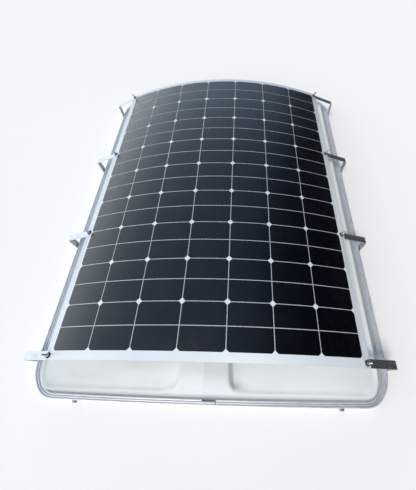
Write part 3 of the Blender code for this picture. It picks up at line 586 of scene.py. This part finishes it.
white_laminate = laminate_finish()
black_silicon = silicon_finish()
white_moulding = gelcoat_finish()
anodised_rim = brushed_finish(
    "anodised_rim_finish", (0.78, 0.79, 0.80), (0.68, 0.70, 0.73), 0.42, (30.0, 30.0, 900.0),
    metallic=0.60, dulling=0.88, scratch=0.00001,
)
bright_aluminium = brushed_finish(
    "bright_aluminium_finish", (0.68, 0.70, 0.71), (0.56, 0.58, 0.60), 0.27, (14.0, 900.0, 14.0),
    metallic=0.92, dulling=0.85,
)
zinc_steel = zinc_finish()
black_rubber = rubber_finish("black_rubber_finish", (0.012, 0.012, 0.013), (0.06, 0.06, 0.06))
grey_sealant = rubber_finish("grey_sealant_finish", (0.38, 0.39, 0.39), (0.48, 0.48, 0.47))
black_plastic = moulded_finish(
    "black_plastic_finish", (0.014, 0.015, 0.016), (0.028, 0.029, 0.031), 0.50,
)
terminal_plastic = moulded_finish(
    "terminal_plastic_finish", (0.24, 0.27, 0.25), (0.33, 0.35, 0.32), 0.55,
)
tinned_copper = tinned_finish()


# ---------------------------------------------------------------------------------------------
# The sheet
# ---------------------------------------------------------------------------------------------
def on_bow(arc, y, depth):
    """A point of the bowed sheet at a depth under its top face."""
    angle = arc / bow_radius
    radius = bow_radius - depth
    return Vector((radius * math.sin(angle), y, radius * math.cos(angle) - bow_radius + crown))


def add_bowed_slab(bm, arcs, ends, depth, thickness):
    """A slab of the sheet between the front and rear that ends(arc) gives, as columns along Y."""
    rings = []
    for arc in arcs:
        front, rear = ends(arc)
        under = depth + thickness
        places = ((front, depth), (rear, depth), (rear, under), (front, under))
        rings.append([on_bow(arc, y, level) for y, level in places])
    add_rings(bm, rings)


def bolt_matrix(joint):
    """Frame of a bolt: the origin on the sheet's top face, Z out along the bolt, Y the model's."""
    up = Vector(joint["axis"]).normalized()
    across = Vector((up.z, 0.0, -up.x))
    turn = Matrix((across, (0.0, 1.0, 0.0), up)).transposed().to_4x4()
    return Matrix.Translation(joint["pos_m"]) @ turn


def add_bolt_holes(bm, low, high, joints):
    """A cutter on each joint's axis, from low to high over the sheet's top face."""
    for joint in joints:
        turned(bm, [(circle(hole_radius), low), (circle(hole_radius), high)], bolt_matrix(joint))


def make_laminate():
    """The white slab of the sheet, with rounded corners and bolt holes."""
    def ends(arc):
        into_corner = max(abs(arc) - (sheet_half_arc - sheet_corner), 0.0)
        pulled_in = sheet_corner - math.sqrt(max(sheet_corner ** 2 - into_corner ** 2, 0.0))
        return sheet_front + pulled_in, sheet_rear - pulled_in

    edge = sheet_half_arc - sheet_corner
    angles = even(0.0, math.pi / 2, sheet_corner_steps)[1:]
    turn = [edge + sheet_corner * math.sin(angle) for angle in angles]
    turn[-1] = sheet_half_arc - sheet_corner_tip
    arcs = [-arc for arc in reversed(turn)] + even(-edge, edge, sheet_columns) + turn
    bm = bmesh.new()
    add_bowed_slab(bm, arcs, ends, laminate_depth, sheet_thickness - laminate_depth)
    nodes = ("front_film", "edge_seal", "back_sheet")
    laminate = make_piece("laminate", bm, white_laminate, replaces=nodes)
    holes = bmesh.new()
    add_bolt_holes(holes, sheet_hole_low, sheet_hole_high, frame["joints"])
    cut(laminate, holes)
    add_bevel(laminate, sheet_edge_radius)
    apply_modifiers(laminate)


def make_cells(column):
    """One string: a column of half cells, each with the two cut corners of its full cell."""
    left = (column - cell_columns / 2) * cell_pitch + cell_gap / 2
    right = left + cell_size
    bm = bmesh.new()
    shade = bm.faces.layers.float.new("shade")
    corner = even(0.0, cell_corner, 2)
    arcs = [left + step for step in corner] + even(left + cell_corner, right - cell_corner, 8)[1:-1]
    arcs += [right - step for step in reversed(corner)]
    for row in range(half_cell_rows):
        front = cells_front + row * half_cell_pitch
        rear = front + cell_size / 2
        cut_front = row % 2 == 0

        def ends(arc):
            near = min(arc - left, right - arc)
            into = max(cell_corner - near, 0.0)
            bulge = cell_corner_bulge * math.sin(math.pi * into / cell_corner)
            taken = max(into - bulge, 0.0)
            return (front + taken, rear) if cut_front else (front, rear - taken)

        known = set(bm.faces)
        add_bowed_slab(bm, arcs, ends, cell_depth, cell_thickness)
        value = random.random()
        for face in bm.faces:
            if face not in known:
                face[shade] = value
    name = "cells_%d" % (column + 1)
    make_piece(name, bm, black_silicon, replaces=["cell_string_%d" % (column + 1)])


# ---------------------------------------------------------------------------------------------
# Brackets and their fasteners
# ---------------------------------------------------------------------------------------------
def make_bracket(label, joint, side):
    """Bent flat bar with rounded edges: a leg under the sheet, an upright and a lip."""
    low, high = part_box("bracket_" + label)
    axis = Vector(joint["axis"])
    along = Vector((axis.z, -abs(axis.x)))
    under_sheet = sheet_thickness + clearance + bracket_thickness / 2
    bolt = Vector((abs(joint["pos_m"][0]), joint["pos_m"][2]))
    under_bolt = bolt - Vector((abs(axis.x), axis.z)) * under_sheet
    upright_x = max(abs(low.x), abs(high.x)) - bracket_thickness / 2
    lip_z = low.z + bracket_thickness / 2
    reach = (upright_x - under_bolt.x) / along.x
    lip_inner = upright_x - bracket_thickness / 2 - bracket_lip_reach
    corners = [
        under_bolt - along * bracket_inner_reach,
        under_bolt + along * reach,
        Vector((upright_x, lip_z)),
        Vector((lip_inner, lip_z)),
    ]
    path = fillet(corners, bracket_bend, steps=10)
    half_width = (high.y - low.y) / 2
    middle = (high.y + low.y) / 2
    half = bracket_thickness / 2
    outline = ((-half, -half_width), (half, -half_width), (half, half_width), (-half, half_width))
    bar_corners = [Vector(corner) for corner in outline]
    section = fillet(bar_corners, bracket_edge_radius, steps=3, closed=True)
    rings = []
    for index, point in enumerate(path):
        before = path[max(index - 1, 0)]
        after = path[min(index + 1, len(path) - 1)]
        direction = (after - before).normalized()
        across = Vector((-direction.y, direction.x))
        ring = []
        for offset, y in section:
            place = point + across * offset
            ring.append(Vector((place.x * side, middle + y, place.y)))
        rings.append(ring)
    bm = bmesh.new()
    add_rings(bm, rings)
    name = "bracket_" + label
    bar = make_piece(name + "_bar", bm, bright_aluminium, replaces=[name])
    hole = bmesh.new()
    add_bolt_holes(hole, bracket_hole_low, 0.0, [joint])
    cut(bar, hole)


def add_thread(bm, matrix, low, high, radius, steps=20, rings_per_turn=6):
    """A threaded rod with a cut end at the top."""
    count = math.ceil((high - low) / thread_pitch * rings_per_turn)
    rings = []
    for index in range(count + 1):
        height = low + (high - low) * index / count
        near_end = min((high - height) / thread_pitch, 1.0)
        ring = []
        for step in range(steps):
            turn = step / steps
            phase = (height / thread_pitch - turn) % 1.0
            crest = abs(2.0 * phase - 1.0)
            reach = radius - thread_depth * (1.0 - crest * near_end)
            angle = 2 * math.pi * turn
            ring.append(matrix @ Vector((reach * math.cos(angle), reach * math.sin(angle), height)))
        rings.append(ring)
    add_rings(bm, rings)


def chamfered_hex(bm, matrix, across_flats, low, high, bore=None, steps=48, both_ends=True):
    """Hexagon whose corners are turned off to a cone at its faces, solid or with a bore."""
    flats = hexagon(across_flats)
    face_radius = across_flats / 2 * hex_face_share
    slope = math.tan(math.radians(hex_chamfer_angle))

    def at_end(height, inward):
        return [matrix @ Vector((flats(a) * math.cos(a), flats(a) * math.sin(a),
                                 height + inward * (flats(a) - face_radius) * slope))
                for a in (2 * math.pi * step / steps for step in range(steps))]

    rings = []
    if both_ends:
        rings.append(ring_points(circle(face_radius), low, steps, matrix))
        rings.append(at_end(low, 1.0))
    else:
        rings.append(ring_points(flats, low, steps, matrix))
    rings.append(at_end(high, -1.0))
    rings.append(ring_points(circle(face_radius), high, steps, matrix))
    if bore is None:
        add_rings(bm, rings)
        return
    mouth = bore * nut_bore_flare
    inner_high = high - nut_bore_chamfer
    inner_low = low + nut_bore_chamfer
    for radius, height in ((mouth, high), (bore, inner_high), (bore, inner_low), (mouth, low)):
        rings.append(ring_points(circle(radius), height, steps, matrix))
    add_rings(bm, rings, closed_round=True)


def make_bolt(label, joint):
    """Hexagon head under the bracket, thread standing up through the sheet."""
    matrix = bolt_matrix(joint)
    seat = -(sheet_thickness + 2 * clearance + bracket_thickness)
    bm = bmesh.new()
    chamfered_hex(bm, matrix @ Matrix.Rotation(math.pi, 4, "X"), bolt_head_across_flats, -seat,
                  -seat + bolt_head_height, both_ends=False)
    add_thread(bm, matrix, seat - thread_lap, bolt_projection, bolt_radius)
    name = "bolt_" + label
    make_piece(name + "_threaded", bm, zinc_steel, replaces=[name], sharp_angle=50.0)


def make_washer(label, joint):
    """Rubber sealing washer, round at its edge and dished at its top."""
    matrix = bolt_matrix(joint)
    height = washer_high - washer_low
    bore = bolt_radius + washer_bore_play
    profile = [(washer_radius - inset, share) for inset, share in washer_edge]
    profile = [(bore, 0.0)] + profile + [(bore, 1.0)]
    stages = [(circle(radius), washer_low + share * height) for radius, share in profile]
    bm = bmesh.new()
    turned(bm, stages, matrix, steps=40, closed_round=True)
    name = "washer_" + label
    make_piece(name + "_seal", bm, black_rubber, replaces=[name])


def make_nut(label, joint):
    """Hexagon nut with a chamfered bore, on the body that turns."""
    bm = bmesh.new()
    chamfered_hex(bm, bolt_matrix(joint), nut_across_flats, nut_low, nut_high, bore=nut_bore_radius)
    name = "nut_" + label
    make_piece(
        name + "_hex", bm, zinc_steel, body=joint["child"], replaces=[name],
        sharp_angle=25.0,
    )


# ---------------------------------------------------------------------------------------------
# Roof shell
# ---------------------------------------------------------------------------------------------
def ease(share):
    """A smooth start and end for a share from 0 to 1."""
    share = min(max(share, 0.0), 1.0)
    return share * share * (3 - 2 * share)


def end_share(y):
    """0 over the flat of the roof, 1 at its front or rear shoulder."""
    return min(max((abs(y) - shoulder_y + end_slope_length) / end_slope_length, 0.0), 1.0)


def spine_width(y):
    """Half width of the spine, which flares towards both ends."""
    return spine_half_width + spine_flare * ease(end_share(y))


def bowed(x, y):
    """The y of a point of the roof or rim once the front and rear edges bulge in the middle."""
    return y * (1 + rim_end_bow / rim_half_length * (1 - (x / rim_half_width) ** 2))


def inside_shoulder(x, y):
    """Distance in from the shoulder, whose corners are quarter ellipses."""
    into_x = max(abs(x) - corner_x, 0.0) / (shoulder_x - corner_x)
    into_y = max(abs(y) - corner_y, 0.0) / (shoulder_y - corner_y)
    if into_x > 0 and into_y > 0:
        return (1.0 - math.hypot(into_x, into_y)) * (shoulder_x - corner_x)
    return min(shoulder_x - abs(x), shoulder_y - abs(y))


def roof_height(x, y):
    """Height of the roof's upper face inside its shoulder."""
    half_width = spine_width(y)
    spine_fall = end_share(y) ** spine_slope_power
    spine_level = spine_peak_z - (spine_peak_z - spine_z) * min(abs(x) / half_width, 1.0)
    spine_foot = half_width + spine_side_run
    fade = 1.0 - ease((abs(x) - spine_foot) / (shoulder_x - spine_foot))
    raised = shoulder_z + (spine_level - shoulder_z) * (1.0 - spine_fall) * fade
    panel = panel_z - (panel_z - pocket_edge_z) * min(abs(x) / (shoulder_x - lip_run), 1.0) ** 2
    sunk = panel + (pocket_edge_z - panel) * end_share(y) ** panel_slope_power
    from_spine = (abs(x) - half_width) * lip_run / spine_side_run
    from_shoulder = inside_shoulder(x, y) * lip_run / end_lip_run
    into_x = max(pocket_corner - from_spine, 0.0)
    into_y = max(pocket_corner - from_shoulder, 0.0)
    into_corner = math.hypot(into_x, into_y)
    from_corner = pocket_corner - into_corner if into_corner > 0 else 1.0
    inside = min(from_spine, from_shoulder, from_corner)
    return raised + (sunk - raised) * ease(inside / lip_run)


def wall_point(share):
    """(run share, rise share) of the steep wall, 0 at the shoulder and 1 at the foot."""
    start, lead = Vector((0, 1)), Vector((0.30, 1.0))
    trail, end = Vector((0.80, 0.03)), Vector((1, 0))
    left = 1.0 - share
    near_shoulder = start * left ** 3 + lead * 3 * left ** 2 * share
    return near_shoulder + trail * 3 * left * share ** 2 + end * share ** 3


def shell_levels():
    """(x, y, z) of each level line from a corner's centre out to the flange's edge.

    Inside the shoulder z is None, because roof_height gives the height there.
    """
    levels = []
    for share in even(0.0, 1.0, corner_levels):
        inner = 1.0 - (1.0 - share) ** corner_crowding
        x = corner_x + (shoulder_x - corner_x) * inner
        y = corner_y + (shoulder_y - corner_y) * inner
        levels.append((x, y, None))
    rise = shoulder_z - shell_flange_z
    for share in even(0.0, 1.0, wall_levels)[1:]:
        run, height = wall_point(share)
        x = shoulder_x + shell_side_run * run
        y = shoulder_y + shell_end_run * run
        levels.append((x, y, shell_flange_z + rise * height))
    edge_x = rim_half_width - shell_edge_inset
    edge_y = rim_half_length - shell_edge_inset
    levels.append(((foot_x + edge_x) / 2, (foot_y + edge_y) / 2, shell_flange_z))
    levels.append((edge_x, edge_y, shell_flange_z))
    return levels


def make_roof_shell():
    """One moulding on a grid whose outer lines turn round the corners, thickened downwards."""
    levels = shell_levels()
    spine_columns = [0.0, 0.02, 0.05] + even(0.0, 1.0, spine_steps)[1:-1] + [0.98, 1.0]
    wall_columns = even(0.0, 1.0, spine_wall_steps)[1:]
    panel_columns = even(0.0, 1.0, panel_steps)[1:-1]
    inner_columns = len(spine_columns) + len(wall_columns) + len(panel_columns)
    inner_rows = even(0.0, middle_rows_end, middle_rows)
    inner_rows += even(middle_rows_end, corner_y, end_rows)[1:-1]

    def column_x(i, y):
        half_width = spine_width(y)
        foot = half_width + spine_side_run
        if i < len(spine_columns):
            return spine_columns[i] * half_width
        i -= len(spine_columns)
        if i < len(wall_columns):
            return half_width + wall_columns[i] * spine_side_run
        i -= len(wall_columns)
        return foot + (corner_x - foot) * panel_columns[i]

    def place(i, j):
        level_x = i - inner_columns
        level_y = j - len(inner_rows)
        outer = max(level_x, level_y)
        y = inner_rows[j] if level_y < 0 else levels[level_y][1]
        x = column_x(i, y) if level_x < 0 else levels[level_x][0]
        if level_x > 0 and level_y > 0:
            angle = math.pi / 4 * level_y / outer
            if level_y == outer:
                angle = math.pi / 2 - math.pi / 4 * level_x / outer
            x = corner_x + (levels[outer][0] - corner_x) * math.cos(angle)
            y = corner_y + (levels[outer][1] - corner_y) * math.sin(angle)
        if outer >= 0 and levels[outer][2] is not None:
            return x, y, levels[outer][2]
        return x, y, roof_height(x, y)

    bm = bmesh.new()
    columns = inner_columns + len(levels)
    rows = len(inner_rows) + len(levels)
    grid = {}
    for i in range(1 - columns, columns):
        for j in range(1 - rows, rows):
            x, y, z = place(abs(i), abs(j))
            y = middle_y + bowed(x, math.copysign(y, j))
            grid[i, j] = bm.verts.new((math.copysign(x, i), y, z))
    for i in range(1 - columns, columns - 1):
        for j in range(1 - rows, rows - 1):
            bm.faces.new((grid[i, j], grid[i + 1, j], grid[i + 1, j + 1], grid[i, j + 1]))
    shell = make_piece(
        "roof_moulding", bm, white_moulding, replaces=["roof_shell"],
        sharp_angle=60.0,
    )
    wall = shell.modifiers.new("wall", "SOLIDIFY")
    wall.thickness = shell_thickness
    wall.offset = -1.0
    apply_modifiers(shell, 60.0)


# ---------------------------------------------------------------------------------------------
# Rim
# ---------------------------------------------------------------------------------------------
def rim_stations(joint_gap):
    """(x, y, outward x, outward y) round the rim, from the joint at the front and back to it."""
    run = even(-corner_x, corner_x, rim_run_steps)[1:-1]
    stations = []
    if joint_gap > 0:
        stations.append((rim_joint_x + joint_gap / 2, -rim_half_length, 0.0, -1.0))
    stations += [(x, -rim_half_length, 0.0, -1.0) for x in run if x > rim_joint_x + joint_gap]
    for quarter, (sx, sy) in enumerate(((1, -1), (1, 1), (-1, 1), (-1, -1))):
        for step in range(rim_corner_steps + 1):
            angle = -math.pi / 2 + (quarter + step / rim_corner_steps) * math.pi / 2
            x = sx * corner_x + rim_corner_width * math.cos(angle)
            y = sy * corner_y + rim_corner_length * math.sin(angle)
            out_x, out_y = rim_corner_length * math.cos(angle), rim_corner_width * math.sin(angle)
            outward = Vector((out_x, out_y)).normalized()
            stations.append((x, y, outward.x, outward.y))
        if quarter == 1:
            stations += [(x, rim_half_length, 0.0, 1.0) for x in reversed(run)]
    stations += [(x, -rim_half_length, 0.0, -1.0) for x in run if x < rim_joint_x - joint_gap]
    if joint_gap > 0:
        stations.append((rim_joint_x - joint_gap / 2, -rim_half_length, 0.0, -1.0))
    return stations


def rim_ring(station, outline):
    """An (outward, height) outline stood up at a station of the rim."""
    x, y, out_x, out_y = station
    ring = []
    for outward, z in outline:
        place_x = x + out_x * outward
        ring.append(Vector((place_x, middle_y + bowed(place_x, y + out_y * outward), z)))
    return ring


def rim_outline():
    """Outer wall, three stepped ribs with grooves between them, and the slot for the flange."""
    rib = rim_reach / rim_rib_count
    points = [(0.0, 0.0), (0.0, rim_height)]
    for index in range(rim_rib_count):
        inner = -rib * (index + 1)
        ridge = rim_height - index * rim_rib_step
        points.append((inner + rim_groove, ridge - rim_rib_fall))
        if index < rim_rib_count - 1:
            groove_floor = ridge - rim_rib_step - rim_groove
            points.append((inner + rim_groove, groove_floor))
            points.append((inner, groove_floor))
            points.append((inner, ridge - rim_rib_step))
    lip_top = rim_height - rim_rib_count * rim_rib_step
    points += [(-rim_reach, lip_top), (-rim_reach, rim_lip_underside)]
    points += [(-rim_wall, rim_lip_underside), (-rim_wall, rim_floor)]
    points += [(-rim_depth, rim_floor), (-rim_depth, 0.0)]
    return fillet([Vector(point) for point in points], rim_edge_radius, steps=2, closed=True)


def make_rim():
    """One ribbed extrusion round the roof, with a joint and a notch at the front."""
    outline = [(outward, rim_bottom + z) for outward, z in rim_outline()]
    bm = bmesh.new()
    add_rings(bm, [rim_ring(station, outline) for station in rim_stations(rim_joint_gap)])
    rim = make_piece(
        "rim_moulding", bm, anodised_rim, replaces=["rim_extrusion"],
        sharp_angle=40.0,
    )
    notch = bmesh.new()
    front = middle_y + bowed(rim_joint_x, -rim_half_length)
    notch_front = front + (rim_rib_count - 1) * rim_reach / rim_rib_count
    notch_floor = rim_bottom + rim_lip_underside - rim_notch_overcut
    low = Vector((rim_joint_x - rim_notch_length, notch_front, notch_floor))
    high = Vector((rim_joint_x, front + rim_depth, rim_high.z + rim_notch_overcut))
    shape = Matrix.Translation((low + high) / 2) @ Matrix.Diagonal((*(high - low), 1.0))
    bmesh.ops.create_cube(notch, size=1.0, matrix=shape)
    cut(rim, notch)


def wall_inset(height, outward_x):
    """How far in from the rim's face the shell's wall stands at a height, by the way it faces."""
    share = (height - shell_flange_z) / (shoulder_z - shell_flange_z)
    wall = [wall_point(step) for step in even(0.0, 1.0, wall_samples)]
    run, rise = min(wall, key=lambda point: abs(point.y - share))
    slope = shell_side_run * outward_x ** 2 + shell_end_run * (1.0 - outward_x ** 2)
    return shell_foot_inset + (1.0 - run) * slope


def make_sealant():
    """Bead that fills the gap between the rim's lip and the wall of the shell."""
    outer = -rim_wall - clearance
    lip_gap = -rim_reach - clearance
    under_lip = rim_bottom + rim_lip_underside - clearance
    rings = []
    for station in rim_stations(0.0):
        outline = [(outer, gasket_bottom), (outer, under_lip)]
        outline += [(lip_gap, under_lip), (lip_gap, bead_top)]
        for height in (bead_top - bead_fall, (bead_top + gasket_bottom) / 2, gasket_bottom):
            outline.append((bead_wall_gap - wall_inset(height, station[2]), height))
        rings.append(rim_ring(station, outline))
    bm = bmesh.new()
    add_rings(bm, rings, closed_round=True)
    make_piece(
        "rim_sealant", bm, grey_sealant, replaces=["rim_gasket"],
        sharp_angle=30.0,
    )


def make_rim_bolt(label):
    """Flanged hexagon bolt in the front of the rim."""
    low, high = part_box("rim_bolt_" + label)
    middle = (low + high) / 2
    front = middle_y + bowed(middle.x, -rim_half_length)
    matrix = Matrix.Translation((middle.x, front, middle.z)) @ Matrix.Rotation(math.pi / 2, 4, "X")
    projection = front - low.y
    bm = bmesh.new()
    shank = circle(rim_bolt_radius)
    flange = circle(rim_bolt_flange_radius)
    flange_top = circle(rim_bolt_flange_top_radius)
    turned(bm, [(shank, -rim_bolt_depth), (shank, clearance + rim_bolt_lap)], matrix, steps=20)
    flange_stages = [(flange, clearance), (flange, rim_bolt_flange_edge)]
    turned(bm, flange_stages + [(flange_top, rim_bolt_flange_height)], matrix)
    hex_start = rim_bolt_flange_height - rim_bolt_lap
    chamfered_hex(bm, matrix, rim_bolt_across_flats, hex_start, projection, both_ends=False)
    name = "rim_bolt_" + label
    make_piece(name + "_hex", bm, zinc_steel, replaces=[name], sharp_angle=25.0)


# ---------------------------------------------------------------------------------------------
# Build
# ---------------------------------------------------------------------------------------------
def side_of(label):
    return -1 if label.startswith("left") else 1


make_laminate()
for string in range(cell_columns):
    make_cells(string)
for nut_joint in frame["joints"]:
    place_label = nut_joint["child"].replace("nut_", "")
    make_bracket(place_label, nut_joint, side_of(place_label))
    make_bolt(place_label, nut_joint)
    make_washer(place_label, nut_joint)
    make_nut(place_label, nut_joint)
make_roof_shell()
make_rim()
make_sealant()
make_rim_bolt("left")
make_rim_bolt("right")

carried_over = {
    "output_ribbon": tinned_copper,
    "return_ribbon": tinned_copper,
    "junction_pad": black_rubber,
    "junction_body": black_plastic,
    "junction_gasket": black_rubber,
    "junction_cover": black_plastic,
    "terminal_block": terminal_plastic,
    "bypass_diode_1": black_plastic,
    "bypass_diode_2": black_plastic,
    "bypass_diode_3": black_plastic,
    "cable_gland_left": black_plastic,
    "cable_gland_right": black_plastic,
}
for node_name, finish in carried_over.items():
    node = frame["nodes"][node_name]
    node.data.materials.clear()
    node.data.materials.append(finish)


# ---------------------------------------------------------------------------------------------
# Floor, light and camera
# ---------------------------------------------------------------------------------------------
floor_radius = 14.0


def make_floor():
    """A white floor under the lips of the brackets."""
    bm = bmesh.new()
    bmesh.ops.create_circle(bm, cap_ends=True, segments=96, radius=floor_radius)
    mesh = bpy.data.meshes.new("floor")
    bm.to_mesh(mesh)
    bm.free()
    f = Finish("floor_finish", (1.0, 0.97, 0.94), 0.9, Specular_IOR_Level=0.1)
    f.drive("Base Color", f.blend(f.noise(0.8, 3.0), (0.99, 0.96, 0.93), (1.0, 0.98, 0.95)))
    mesh.materials.append(f.material)
    floor = bpy.data.objects.new("floor", mesh)
    bpy.context.scene.collection.objects.link(floor)


world_strength = 1.7
side_colours = (
    (0.0, (1.0, 1.0, 1.0)),
    (0.45, (0.90, 0.92, 0.95)),
    (0.60, (0.57, 0.62, 0.68)),
    (0.66, (0.32, 0.36, 0.42)),
    (0.72, (0.035, 0.04, 0.05)),
    (0.80, (0.008, 0.009, 0.012)),
    (1.0, (0.003, 0.003, 0.004)),
)
height_colours = (
    (0.0, (0.90, 0.97, 1.0)),
    (0.25, (0.84, 0.94, 1.0)),
    (0.38, (0.64, 0.76, 0.86)),
    (0.55, (0.32, 0.42, 0.53)),
    (0.85, (0.16, 0.23, 0.32)),
    (1.0, (0.14, 0.20, 0.29)),
)


def make_sun(name, direction, strength, spread, colour):
    """A large soft lamp far away in a direction."""
    light = bpy.data.lights.new(name, "SUN")
    light.angle = math.radians(spread)
    light.energy = strength
    light.color = colour
    lamp = bpy.data.objects.new(name, light)
    lamp.rotation_euler = Vector(direction).to_track_quat("Z", "Y").to_euler()
    bpy.context.scene.collection.objects.link(lamp)


def make_world():
    """A soft studio: bright low down, bluer overhead, and unlit on the right."""
    world = bpy.data.worlds.new("studio")
    bpy.context.scene.world = world
    world.use_nodes = True
    nodes = world.node_tree.nodes
    links = world.node_tree.links
    nodes.clear()
    direction = nodes.new("ShaderNodeTexCoord")
    split = nodes.new("ShaderNodeSeparateXYZ")
    links.new(direction.outputs["Generated"], split.inputs[0])

    def ramp(value, colours):
        made = nodes.new("ShaderNodeValToRGB")
        stops = made.color_ramp.elements
        stops.remove(stops[1])
        stops[0].position, stops[0].color = colours[0][0], (*colours[0][1], 1.0)
        for position, colour in colours[1:]:
            stops.new(position).color = (*colour, 1.0)
        links.new(value, made.inputs["Fac"])
        return made.outputs["Color"]

    across = nodes.new("ShaderNodeMapRange")
    across.inputs["From Min"].default_value = -1.0
    links.new(split.outputs["X"], across.inputs["Value"])
    by_side = ramp(across.outputs["Result"], side_colours)
    by_height = ramp(split.outputs["Z"], height_colours)
    both = nodes.new("ShaderNodeMix")
    both.data_type = "RGBA"
    both.blend_type = "MULTIPLY"
    both.inputs["Factor"].default_value = 1.0
    links.new(by_side, both.inputs[6])
    links.new(by_height, both.inputs[7])
    light = nodes.new("ShaderNodeBackground")
    light.inputs["Strength"].default_value = world_strength
    links.new(both.outputs[2], light.inputs["Color"])
    backdrop = nodes.new("ShaderNodeBackground")
    backdrop.inputs["Color"].default_value = (0.97, 0.97, 0.97, 1.0)
    seen = nodes.new("ShaderNodeLightPath")
    mix = nodes.new("ShaderNodeMixShader")
    links.new(seen.outputs["Is Camera Ray"], mix.inputs["Fac"])
    links.new(light.outputs[0], mix.inputs[1])
    links.new(backdrop.outputs[0], mix.inputs[2])
    output = nodes.new("ShaderNodeOutputWorld")
    links.new(mix.outputs[0], output.inputs["Surface"])


camera_lens = 19.47
camera_shift_x = -0.0527
camera_shift_y = -0.0273
camera_place = (0.1342, middle_y - 0.8162, crown + 0.9210)
camera_angles = (29.70, 1.63, 1.42)


def make_camera():
    """A camera above the front edge, looking to the rear and down."""
    camera = bpy.data.cameras.new("camera")
    camera.sensor_width = 36.0
    camera.lens = camera_lens
    camera.shift_x = camera_shift_x
    camera.shift_y = camera_shift_y
    camera.clip_start = 0.01
    holder = bpy.data.objects.new("camera", camera)
    holder.location = camera_place
    holder.rotation_euler = Euler([math.radians(angle) for angle in camera_angles])
    bpy.context.scene.collection.objects.link(holder)
    bpy.context.scene.camera = holder


make_floor()
make_world()
make_sun(
    "key", direction=(-0.22, -0.50, 0.84), strength=2.20, spread=28.0, colour=(1.0, 0.92, 0.84),
)
make_camera()
bpy.context.scene.view_settings.view_transform = "Standard"
